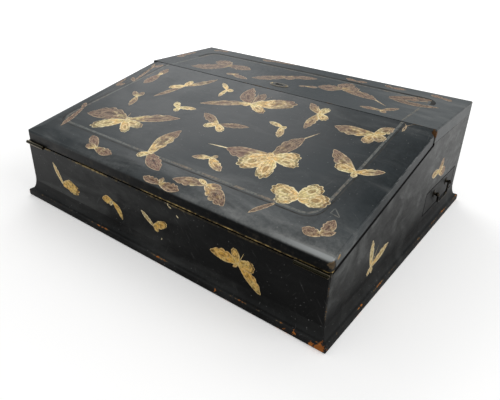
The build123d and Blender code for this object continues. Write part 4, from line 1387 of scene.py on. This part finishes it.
def add_wing(shape, layers, face, root, wing, trailing, lift, seed):
    """Adds a wing's two skins and its rim, with its map and its attributes."""
    kind, tip, width, bright, rust, bend = wing
    root, tip = Vector(root), Vector(tip)
    across = Vector((root.y - tip.y, tip.x - root.x)).normalized()
    length = (tip - root).length
    rows = max(10, min(28, round(length / row_length)))
    columns = 2 if kind == "tail" else max(6, min(14, round(width / column_width)))
    uv, attributes = layers
    grid, maps = {}, {}
    edge = shape.verts.layers.float["edge"]
    for i in range(rows + 1):
        for j in range(columns + 1):
            u, v = i / rows, j / columns
            along, aside = wing_outline(kind, u, v, trailing)
            limit = abs(wing_outline(kind, u, round(v), trailing)[1])
            from_side = (limit - abs(aside)) * width / 2
            wavy = 1 + edge_waviness * math.sin(edge_waves * u + seed)
            flat = root.lerp(tip, along) + across * (aside * width / 2 * wavy + bend * 4 * u * (1 - u))
            point, out = face(flat.x * mm, flat.y * mm)
            for layer, height in ((0, -wing_sink), (1, lift)):
                vertex = shape.verts.new(point + out * height)
                grid[i, j, layer] = vertex
                maps[vertex] = (u, v)
                vertex[edge] = 0.0 if kind == "tail" else min(from_side, (1 - u) * length)
                for attribute, value in zip(attributes, (bright, rust, seed)):
                    vertex[attribute] = value
    quads = []
    for i in range(rows):
        for j in range(columns):
            for layer in (0, 1):
                corners = [(i, j), (i + 1, j), (i + 1, j + 1), (i, j + 1)]
                quads.append([grid[a, b, layer] for a, b in corners])
    ring = [(i, 0) for i in range(rows)] + [(rows, j) for j in range(columns)]
    ring += [(i, columns) for i in range(rows, 0, -1)] + [(0, j) for j in range(columns, 0, -1)]
    for (a, b), (c, d) in zip(ring, ring[1:] + ring[:1]):
        quads.append([grid[a, b, 0], grid[c, d, 0], grid[c, d, 1], grid[a, b, 1]])
    for quad in quads:
        drawn = shape.faces.new(quad)
        for loop in drawn.loops:
            loop[uv].uv = maps[loop.vert]
    bmesh.ops.remove_doubles(shape, verts=list(grid.values()), dist=fine_weld)


# %% All that is painted on a face
def trailing_side(root, wings, order):
    """Which side of a wing faces the others: its scalloped, trailing edge."""
    ways = [Vector(wing[1]) - Vector(root) for wing in wings]
    others = sum((way.normalized() for i, way in enumerate(ways) if i != order), Vector((0, 0)))
    across = Vector((-ways[order].y, ways[order].x))
    return 1 if others.dot(across) >= 0 else -1


def butterflies(name, face, body, *painted, brighter=0.0, wider=1.0):
    """Makes one thin mesh of all that is painted on a face."""
    shape = bmesh.new()
    attributes = [shape.verts.layers.float.new(label) for label in ("bright", "rust", "seed")]
    shape.verts.layers.float.new("edge")
    layers = (shape.loops.layers.uv.new("Wing"), attributes)
    seed = 0
    for root, wings in painted:
        for order, wing in enumerate(wings):
            seed += 1
            trailing = trailing_side(root, wings, order)
            lift = wing_lift + wing_lift_step * order
            kind, tip, width, bright, *others = wing
            width *= 1.0 if kind == "tail" else wider
            wing = (kind, tip, width, bright + brighter, *others)
            add_wing(shape, layers, face, root, wing, trailing, lift, seed)
    bmesh.ops.recalc_face_normals(shape, faces=shape.faces)
    mesh = shade_smooth(from_bmesh(name, shape), 50)
    return place_piece(name, mesh, gilding, body, "black_lacquer")


# %% Butterflies on the lid
# Places are x from the middle and the distance up the slope from the lid's front edge
butterflies(
    "Butterflies_lid", on_lid, "lid",
    at(
        -106, 67, leaf(-162, 58, 24, 0.35, 0.4, -9), leaf(-50, 100, 14, 0.45, 0.5, 3),
        fan(-76, 66, 11, 0.7, 0.3), fan(-135, 40, 15, 0.8, 0.3), fan(-85, 49, 10, 0.85, 0.3),
        leaf(-103, 76, 6, 0.75), tail(-113, 84, 1.2, 0.5), tail(-96, 85, 1.2, 0.5),
    ),
    at(
        -102, 164, leaf(-119, 125.5, 7, 0.4, 0.6), leaf(-75, 196, 8, 0.45, 0.4, -2),
        fan(-119.5, 152, 8, 0.8), leaf(-102.6, 179, 9, 0.75),
    ),
    at(
        -157, 172, leaf(-158, 146, 13, 0.3, 0.9), leaf(-159, 192, 10, 0.35, 0.6),
        leaf(-157, 180, 5, 0.8),
    ),
    at(-138, 116, leaf(-138, 128, 8, 0.5), leaf(-129, 94.5, 8, 0.45, 0.6), leaf(-152, 124, 7, 0.5)),
    at(-71, 118.6, leaf(-48, 125, 7, 0.7, 0.4), leaf(-82, 128, 8, 0.8), fan(-67, 110, 7, 0.85)),
    at(
        -30, 33, leaf(-31, 82, 17, 0.5, 0.5, 2), leaf(1.5, 15.5, 14, 0.3, 0.9), fan(-40, 24, 8, 0.8),
        leaf(-27, 36, 5, 0.7),
    ),
    at(-90, 12, leaf(-114, 27, 10, 0.4, 0.7), leaf(-64, 12, 10, 0.4, 0.7), fan(-105, 12, 8, 0.6, 0.5)),
    at(
        2, 164, leaf(-55, 138, 10, 0.45, 0.5, -2), leaf(-20, 197, 17, 0.3, 0.7, 5),
        leaf(2, 191, 13, 0.2, 0.4), fan(50, 186, 18, 0.6, 0.4), fan(27, 152.5, 10, 0.65),
        leaf(-8, 158, 7, 0.7), tail(14, 188, 1.2, 0.5), tail(-6, 190, 1.2, 0.5),
    ),
    at(-47, 180, leaf(-63, 191.5, 6, 0.7), leaf(-45, 161, 6, 0.65), leaf(-37, 178, 7, 0.7)),
    at(
        -4, 110, leaf(-34, 123, 10, 0.4, 0.5), leaf(31, 121, 8, 0.35, 0.4), fan(-17, 101, 8, 0.9),
        fan(10, 100, 8, 0.9),
    ),
    at(61, 138, leaf(43, 141, 6, 0.7), leaf(69, 119, 8, 0.6), fan(67, 137, 6, 0.8)),
    at(
        82, 179, leaf(61, 196, 9, 0.5), leaf(83, 146, 10, 0.5), fan(85, 194, 9, 0.85),
        fan(95, 170, 9, 0.85),
    ),
    at(
        85, 87, leaf(34, 78.5, 18, 0.42, 0.75, 3), leaf(94, 131, 16, 0.35, 0.3, 3),
        fan(60, 61, 21, 0.9, 0.2), fan(94, 53, 15, 0.9, 0.2), fan(110, 99, 15, 0.85, 0.3),
        fan(115, 86, 11, 0.9, 0.2), leaf(77, 92, 6, 0.8), leaf(72, 74, 9, 0.85),
    ),
    at(36, 79, tail(12, 76, 2.2, 0.75)),
    at(93, 128, tail(103, 147, 2.0, 0.5)),
    at(32, 57, leaf(13, 50, 7, 0.6), leaf(55, 44, 10, 0.55, 0.6), fan(37, 63, 5, 0.6)),
    at(
        139, 48, fan(167, 54, 17, 0.75), fan(122, 35, 13, 0.75), fan(110, 50, 15, 0.93, 0.2),
        fan(150, 71, 15, 0.93, 0.2), leaf(132, 41, 7, 0.9),
    ),
    at(126, 31, leaf(113, 10, 5, 0.3, 0.3)),
    at(179.6, 17, leaf(162, 17, 10, 0.4), leaf(180, 38, 10, 0.4), leaf(188, 26, 5, 0.4)),
    at(
        163, 103, leaf(129, 127, 13, 0.45, 0.5, 2), leaf(187, 116, 9, 0.6), fan(142, 106, 10, 0.9),
        leaf(166, 95, 6, 0.7),
    ),
    at(
        151, 168, leaf(108, 165, 15, 0.5, 0.4, 2), leaf(163, 188, 12, 0.55), fan(148, 150, 11, 0.65),
        fan(164, 161, 11, 0.6), tail(160, 160, 1.2, 0.5),
    ),
    at(15, 3, leaf(-8, 3, 8, 0.35), leaf(39, 3.5, 10, 0.4), leaf(13, 10, 5, 0.5)),
    at(
        57, 21.6, leaf(22, 13, 11, 0.4), leaf(89, 6.6, 14, 0.4), leaf(45, 25, 5, 0.8),
        leaf(73, 24, 8, 0.5),
    ),
    at(172, 186, tail(178, 204, 1.5, 0.3, 0.5, 4), tail(166, 203, 1.5, 0.3, 0.5, -3)),
    at(-189, 126, leaf(-180, 134, 6, 0.15, 0.9), leaf(-193, 147, 5, 0.15, 0.9)),
    at(-175, 144, leaf(-186, 152, 5, 0.12, 0.9), leaf(-184, 190, 4, 0.1, 0.9)),
    at(-177, 63, leaf(-186, 74, 6, 0.12, 0.9), leaf(-166, 22.5, 7, 0.15, 0.8)),
    at(-184, 186, leaf(-174, 199, 6, 0.1, 0.9), leaf(-190, 197, 4, 0.15, 0.9)),
    wider=1.15,
)

# %% Butterflies on the flat top
# Places are x and y
butterflies(
    "Butterflies_top", on_top, "case",
    at(
        -106, 91, leaf(-141, 52, 19, 0.3, 0.4, 4), leaf(-70, 91, 15, 0.35, 0.4),
        fan(-133, 102, 15, 0.4, 0.4),
    ),
    at(-72, 58, leaf(-83, 57, 6, 0.45), leaf(-46, 52.6, 7, 0.4), leaf(-70, 66, 5, 0.45)),
    at(-16, 98, leaf(-46, 62, 13, 0.35, 0.4, 3), leaf(19, 116, 11, 0.35, 0.4), fan(-4, 90, 9, 0.4)),
    at(
        63, 99, leaf(36, 87, 17, 0.4, 0.5), leaf(62, 127, 15, 0.35), leaf(113, 86, 13, 0.4, 0.5, 3),
        fan(80, 112, 12, 0.45),
    ),
    at(111, 87, tail(132, 72, 3, 0.4)),
    at(133.5, 56, leaf(109, 53, 6, 0.45), leaf(146, 75, 6, 0.4), leaf(140, 50, 5, 0.5)),
    at(120, 107, leaf(179, 108, 8, 0.15, 0.3, -6), leaf(163, 129, 13, 0.15, 0.4)),
    at(26.5, 78, leaf(39, 82, 6, 0.4), leaf(18, 72, 4, 0.4)),
    at(-193, 78, leaf(-186, 88, 5, 0.15, 0.9), leaf(-192, 119, 5, 0.12, 0.9)),
    at(-173, 151, leaf(-158, 153, 6, 0.12, 0.9), leaf(-180, 144, 5, 0.1, 0.9)),
    at(-92, 151, leaf(-78, 149, 6, 0.15, 0.9), leaf(-38, 158, 4, 0.1, 0.9)),
    at(59, 142, leaf(74, 146, 6, 0.15, 0.9), leaf(44, 147, 6, 0.15, 0.9)),
    at(106, 146, leaf(124, 150, 6, 0.15, 0.9), leaf(96, 152, 5, 0.1, 0.9)),
    at(169, 147, leaf(182, 142, 5, 0.15, 0.9), leaf(154, 151, 6, 0.12, 0.9)),
    brighter=-0.06,
    wider=1.5,
)

# %% Butterflies on the walls
# Places are x and height on the front, and y and height on the sides
butterflies(
    "Butterflies_front", on_front, "case",
    at(-142, 33, leaf(-157, 56, 7, 0.85), fan(-112, 33, 15, 1.0, 0.1, 2), fan(-122, 40, 8, 1.0, 0.1)),
    at(-55, 42, leaf(-72, 40, 10, 1.0, 0.1), leaf(-41, 25, 8, 1.0, 0.1, 2), leaf(-60, 36, 5, 0.9)),
    at(6.4, 36.7, leaf(-11, 48.5, 6, 0.9), fan(25, 46, 9, 1.0, 0.1), fan(13, 33, 6, 1.0, 0.1)),
    at(
        112, 41, leaf(79, 41, 13, 1.0, 0.1, -2), leaf(137, 18.5, 12, 1.0, 0.1, 2),
        fan(130, 43, 12, 1.0, 0.1), fan(106, 55, 9, 1.0, 0.1), tail(118, 54, 1.2, 1.0),
        leaf(106, 35, 4, 1.0),
    ),
    at(28, 67, leaf(32, 66, 1.6, 0.9), leaf(27, 70, 1.2, 0.9)),
    at(38, 61, leaf(41, 59, 1.5, 0.9)),
    at(17, 27, leaf(16, 24.5, 1.2, 0.7)),
)
butterflies(
    "Butterflies_right", on_right, "case",
    at(
        -80, 33, leaf(-85, 64, 9, 0.9, 0.1), leaf(-44, 41, 10, 0.95, 0.1), fan(-87, 26, 6, 0.95, 0.1),
        fan(-76, 24, 5, 0.95, 0.1), tail(-69, 50, 1.2, 0.8),
    ),
    at(80, 70, fan(104, 62, 12, 0.55, 0.8), leaf(90, 83, 13, 0.5, 0.8, -2), leaf(56, 73, 10, 0.6, 0.8)),
)
butterflies(
    "Butterflies_left", on_left, "case",
    at(
        64, 70, leaf(90, 84, 9, 0.9, 0.1), leaf(36, 66, 9, 0.9, 0.1), fan(70, 52, 9, 0.95, 0.1),
        tail(62, 86, 1.2, 0.8),
    ),
    at(-84, 36, leaf(-112, 46, 8, 0.9, 0.1), fan(-66, 50, 9, 0.95, 0.1), fan(-72, 26, 7, 0.9, 0.1)),
)

# %% [markdown]
# ## Border lines
# A painted line runs round the lid and round the flat top, with rounded corners. It follows a
# path, so Geometry Nodes draw it: the path's few corner points become a curve, its corners are
# rounded, and a flat section is swept along it. Noise in the sweep's scale makes the brush swell
# and thin. The tree then leans the flat drawing onto its board.

# %% Tree of the painted line
line_tree, given = new_geometry_tree(
    "Painted line",
    [
        ("Width", FLOAT),
        ("Thickness", FLOAT),
        ("Corner radius", FLOAT),
        ("Lean", VECTOR),
        ("Place", VECTOR),
        ("Material", "NodeSocketMaterial"),
    ],
)
path = first("GeometryNodeMeshToCurve", {"Mesh": given["Geometry"]})
rounding = {"Curve": path, "Count": 8, "Radius": given["Corner radius"], "Limit Radius": True}
path = first("GeometryNodeFilletCurve", rounding, mode="POLY")
path = first("GeometryNodeResampleCurve", {"Curve": path, "Length": 0.003}, mode="LENGTH")
spot = first("GeometryNodeInputPosition")
swell = noise(spot, 60.0, 3.0) * 0.9 + 0.55
waves = wire("ShaderNodeTexNoise", {"Vector": spot, "Scale": 12.0}).outputs[1]
sway = vectors("SUBTRACT", waves, (0.5, 0.5, 0.5))
sway = vectors("MULTIPLY", sway, (0.0012, 0.0012, 0.0))
path = first("GeometryNodeSetPosition", {"Geometry": path, "Offset": sway})
brush_size = {"Width": given["Width"], "Height": given["Thickness"]}
brush = first("GeometryNodeCurvePrimitiveQuadrilateral", brush_size)
stroke = sweep(path, brush, Scale=swell)
finish_tree(moved(stroke, given["Place"], given["Lean"]), given["Material"])


# %% Lines on the lid and the flat top
line_thickness = 0.00006


def painted_line(
    name, body, points, lean, place, material=border_gilt, width=0.0027, radius=0.014, closed=False
):
    """Draws a line through points given in millimetres on the board's own plane."""
    count = len(points)
    edges = closed_loop(count) if closed else [(i, i + 1) for i in range(count - 1)]
    values = {
        "Width": width,
        "Thickness": line_thickness,
        "Corner radius": radius,
        "Lean": (lean, 0.0, 0.0),
        "Place": place,
        "Material": material,
    }
    spots = [(x * mm, y * mm, 0.0) for x, y in points]
    mesh = shade_smooth(run_tree(name, line_tree, spots, edges, values))
    return place_piece(name, mesh, material, body, "black_lacquer")


# Each border is a pale line, with a darker one of bare size outside it
lid_border = [(-168, 203), (-174, 126), (-179, 62), (-180, 34), (-60, 32.5), (60, 33)]
lid_border += [(164, 33), (165, 110), (165, 203)]
painted_line("Border_lid", "lid", lid_border, tilt, lid_edge_place)
dark_border = [(-171.5, 203), (-177.5, 126), (-182.5, 62), (-183.5, 30.5), (-60, 29), (60, 29.5)]
dark_border += [(167.5, 29.5), (168.5, 110), (168.5, 203)]
painted_line("Border_lid_dark", "lid", dark_border, tilt, lid_edge_place, border_faint, 0.0014, 0.0165)
top_border = [(-166, 41), (-166, 128), (0, 129), (161, 127), (163, 41)]
top_place = Vector((0, 0, case_top))
painted_line("Border_top", "case", top_border, 0.0, top_place, border_gilt, 0.0022, 0.012)
dark_border = [(-171.5, 100), (-171.5, 133.5), (0, 134.5), (167.5, 132.5), (168, 112)]
painted_line("Border_top_dark", "case", dark_border, 0.0, top_place, border_dark, 0.0055, 0.016)
scratched_mark = [(172.8, 43.7), (173.1, 51), (182.6, 41.9)]
painted_line(
    "Scratched_mark", "lid", scratched_mark, tilt, lid_edge_place, border_gilt, 0.0009, 0.0, True
)

# %% [markdown]
# ## Screws
# All the screws are one shape in many places, so one is made and Geometry Nodes stand a copy on
# each place that the frame gives, turned into its wood and spun by a seeded random angle, since
# nobody lines up the slots. The screw is turned from its outline and its slot is cut out.


# %% Turned and boxed shapes
lathe_weld = 0.0000005


def turned(outline, segments, axis):
    """Spins an outline of (distance along the axis, radius) points into a closed shape."""
    shape = bmesh.new()
    axis = Vector(axis)
    aside = axis.orthogonal().normalized()
    line = [shape.verts.new(axis * along + aside * radius) for along, radius in outline]
    edges = [shape.edges.new(pair) for pair in zip(line, line[1:])]
    bmesh.ops.spin(
        shape, geom=line + edges, cent=(0, 0, 0), axis=axis, angle=2 * math.pi, steps=segments
    )
    bmesh.ops.remove_doubles(shape, verts=shape.verts, dist=lathe_weld)
    bmesh.ops.recalc_face_normals(shape, faces=shape.faces)
    return shape


def box_shape(low, high):
    """A closed box between two corners."""
    x_ends, y_ends, z_ends = zip(low, high)
    return wedge([(x, y, z) for x in x_ends for y in y_ends for z in z_ends])


# %% One screw
head_radius = 0.0019
head_rim = 0.00015
head_depth = 0.0011
shank_radius = 0.0009
root_radius = shank_radius * 0.72
screw_length = 0.009
thread_start = 0.0018
thread_count = 7
thread_length = screw_length - 0.0025
slot_width = 0.0004
slot_depth = 0.0005

pitch = thread_length / thread_count
screw_outline = [(0.0, 0.0), (0.0, head_radius), (head_rim, head_radius), (head_depth, shank_radius)]
for turn in range(thread_count):
    along = thread_start + turn * pitch
    screw_outline += [(along, root_radius), (along + pitch / 2, shank_radius)]
screw_outline += [(screw_length, 0.0)]
slot = box_shape((-0.003, -slot_width / 2, -0.001), (0.003, slot_width / 2, slot_depth))
screw = cut_or_join("Screw", [turned(screw_outline, 16, (0, 0, 1)), slot], "DIFFERENCE")
screw_carrier = carrier_of("Screw", shade_smooth(from_bmesh("Screw", screw), 40))
print("one screw has", len(screw_carrier.data.polygons), "faces")

# %% Tree of the screws
screws_tree, given = new_geometry_tree(
    "Screws on places",
    [
        ("Screw", "NodeSocketObject"), ("Into", VECTOR), ("Seed", "NodeSocketInt"),
        ("Material", "NodeSocketMaterial"),
    ],
)
screw_geometry = wire("GeometryNodeObjectInfo", {"Object": given["Screw"]}).outputs["Geometry"]
aimed = first("FunctionNodeAlignRotationToVector", {"Vector": given["Into"]}, axis="Z")
half_turn = {2: 0.0, 3: math.pi, "Seed": given["Seed"]}
angle = wire("FunctionNodeRandomValue", half_turn, data_type="FLOAT").outputs[1]
spin = first("FunctionNodeAxisAngleToRotation", {"Axis": (0, 0, 1), "Angle": angle})
turns = {"Rotation": aimed, "Rotate By": spin}
facing = first("FunctionNodeRotateRotation", turns, rotation_space="LOCAL")
copies = {"Points": given["Geometry"], "Instance": screw_geometry, "Rotation": facing}
finish_tree(first("GeometryNodeInstanceOnPoints", copies), given["Material"])


# %% Screws on their places
def screw_places(node, into):
    """The middle of each screw's head: its lowest points along the way it is driven."""
    shape = welded_copy(node)
    left = set(shape.verts)
    places = []
    while left:
        island = [left.pop()]
        for vertex in island:
            near = [edge.other_vert(vertex) for edge in vertex.link_edges]
            island += [other for other in near if other in left]
            left.difference_update(near)
        depths = [vertex.co.dot(into) for vertex in island]
        head = [v.co for v, depth in zip(island, depths) if depth < min(depths) + 0.00001]
        places.append(sum(head, Vector()) / len(head))
    shape.free()
    return places


def set_screws(name, node, into, body, material, slot_name, seed):
    """Stands a screw on each of a node's places and makes them one piece."""
    places = screw_places(node, into)
    values = {"Screw": screw_carrier, "Into": into, "Seed": seed, "Material": material}
    mesh = run_tree(name, screws_tree, places, [], values)
    print(name, len(places), "screws")
    return place_piece(name, shade_smooth(mesh, 40), material, body, slot_name, node)


set_screws("Hinge_screws_case", "hinge_case_screws", -slope_out, "case", brass, "brass", 1)
set_screws("Hinge_screws_lid", "hinge_lid_screws", slope_out, "lid", brass, "brass", 2)
set_screws("Strike_screws", "strike_screws", Vector((0, -1, 0)), "lid", brass, "brass", 3)
set_screws("Lock_screws", "lock_screws", Vector((0, 0, 1)), "case", iron, "steel", 4)
bpy.data.objects.remove(screw_carrier)

# %% [markdown]
# ## Brass fittings
# The hinges and the escutcheon are cast and filed, so their edges are soft: copies of the solids
# get a fine bevel. The handle's posts are turned on a lathe, and here too, from one outline. The
# bail is a bent rod, so Geometry Nodes sweep a round section along its bent path.

# %% Hinges and escutcheon
for end in ("left", "right"):
    for body in ("case", "lid"):
        node = f"hinge_{end}_{body}_leaf"
        name = f"Hinge_{end}_{body}_leaf"
        mesh = soften(merged_copy(node), name, 0.00018, shortest=0.0015, steepest=55)
        place_piece(name, mesh, hinge_brass, body, "brass", node)
escutcheon_mesh = soften(merged_copy("escutcheon"), "Escutcheon", 0.00016, shortest=0.0, steepest=60)
place_piece("Escutcheon", escutcheon_mesh, plate_brass, "case", "brass", "escutcheon")

# %% Posts of the drawer's handle
post_profile = [(-0.012, 0.0), (-0.012, 0.0014), (0.0, 0.0014), (0.0, 0.0043), (0.0003, 0.0046)]
post_profile += [(0.0006, 0.0045), (0.0009, 0.0034), (0.0012, 0.0019)]
ball_along, ball_radius, neck_radius = 0.0043, 0.0024, 0.0016
post_profile += [(0.0017, neck_radius), (0.0022, neck_radius)]
neck_angle = math.degrees(math.asin(neck_radius / ball_radius))
post_profile += list(quarter((ball_along, 0.0), ball_radius, ball_radius, 180 - neck_angle, 0, 12))
print("a post is", round(post_profile[-1][0] - post_profile[0][0], 4), "m long")

for end in ("near", "far"):
    node = "handle_post_" + end
    low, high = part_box(node)
    shape = turned(post_profile, 32, (1, 0, 0))
    foot = Vector((half_width, *((low + high) / 2).yz))
    bmesh.ops.translate(shape, verts=shape.verts, vec=foot)
    mesh = shade_smooth(from_bmesh("Handle_post_" + end, shape), 40)
    place_piece("Handle_post_" + end, mesh, dark_brass, "drawer", "brass", node)

# %% Path of the drawer's bail
bail_low, bail_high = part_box("drawer_bail")
rod_radius = (bail_high.x - bail_low.x) / 2
bail_middle = (bail_low + bail_high) / 2
bail_axis = Vector((bail_middle.x, bail_middle.y, bail_high.z - rod_radius))
half_span = (bail_high.y - bail_low.y) / 2
arm = half_span - 0.0032
drop = bail_axis.z - bail_low.z - rod_radius
elbow_radius = 0.0013
bend_radius = 0.0065


def bent_corner(corner, before, after, radius, steps=6):
    """Points of the arc that rounds one right-angled corner of the bail's path."""
    corner, before, after = Vector(corner), Vector(before), Vector(after)
    start, stop = (before - corner).normalized(), (after - corner).normalized()
    middle = corner + (start + stop) * radius
    for step in range(steps + 1):
        angle = math.pi / 2 * step / steps
        yield middle - stop * radius * math.cos(angle) - start * radius * math.sin(angle)


corners = [(0, -half_span, 0), (0, -arm, 0), (0, -arm, -drop)]
corners += [(0, -y, z) for _, y, z in reversed(corners)]
radii = [elbow_radius, bend_radius, bend_radius, elbow_radius]
bail_path = [Vector(corners[0])]
for before, corner, after, radius in zip(corners, corners[1:], corners[2:], radii):
    bail_path += bent_corner(corner, before, after, radius)
bail_path.append(Vector(corners[-1]))

# %% Bail of the drawer's handle
rod_tree, given = new_geometry_tree(
    "Bent rod",
    [("Radius", FLOAT), ("Place", VECTOR), ("Material", "NodeSocketMaterial")],
)
path = first("GeometryNodeMeshToCurve", {"Mesh": given["Geometry"]})
circle = {"Resolution": 16, "Radius": given["Radius"]}
rod = sweep(path, first("GeometryNodeCurvePrimitiveCircle", circle))
finish_tree(moved(rod, given["Place"]), given["Material"])
path_edges = [(i, i + 1) for i in range(len(bail_path) - 1)]
values = {"Radius": rod_radius, "Place": bail_axis, "Material": dark_brass}
bail_mesh = shade_smooth(run_tree("Bail", rod_tree, bail_path, path_edges, values), 50)
place_piece("Bail", bail_mesh, dark_brass, "bail", "brass", "drawer_bail")

# %% [markdown]
# ## Finishes of the solids that stay
# What is seen only with the lid or the drawer open keeps its solid and gets its finish: oily
# brown wood with its grain along each board, worn leather, and the lock's metals.


# %% Finishes of the solids that stay
def give(material, *nodes):
    """Finishes solids that keep their own mesh."""
    print(material.name, "on", ", ".join(nodes))
    for node in nodes:
        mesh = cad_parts[node].data
        mesh.materials.clear()
        mesh.materials.append(material)


give(wood_across, "bottom_board", "drawer_bay_wall", "shelf", "drawer_guide", "lid_rest_left")
give(wood_across, "lid_rest_right", "pen_tray", "drawer_side_near", "drawer_side_far", "drawer_bottom")
give(wood_back, "drawer_stop", "ink_divider_left", "ink_divider_right", "drawer_back")
give(leather, "lid_lining")
give(brass, "escutcheon_pins", "lock_bolt", "strike_plate", "lock_plate", "handle_nuts", "lock_cap")
give(hinge_brass, "hinge_left_pin", "hinge_right_pin")
give(iron, "lock_key_pin", "lock_spring")
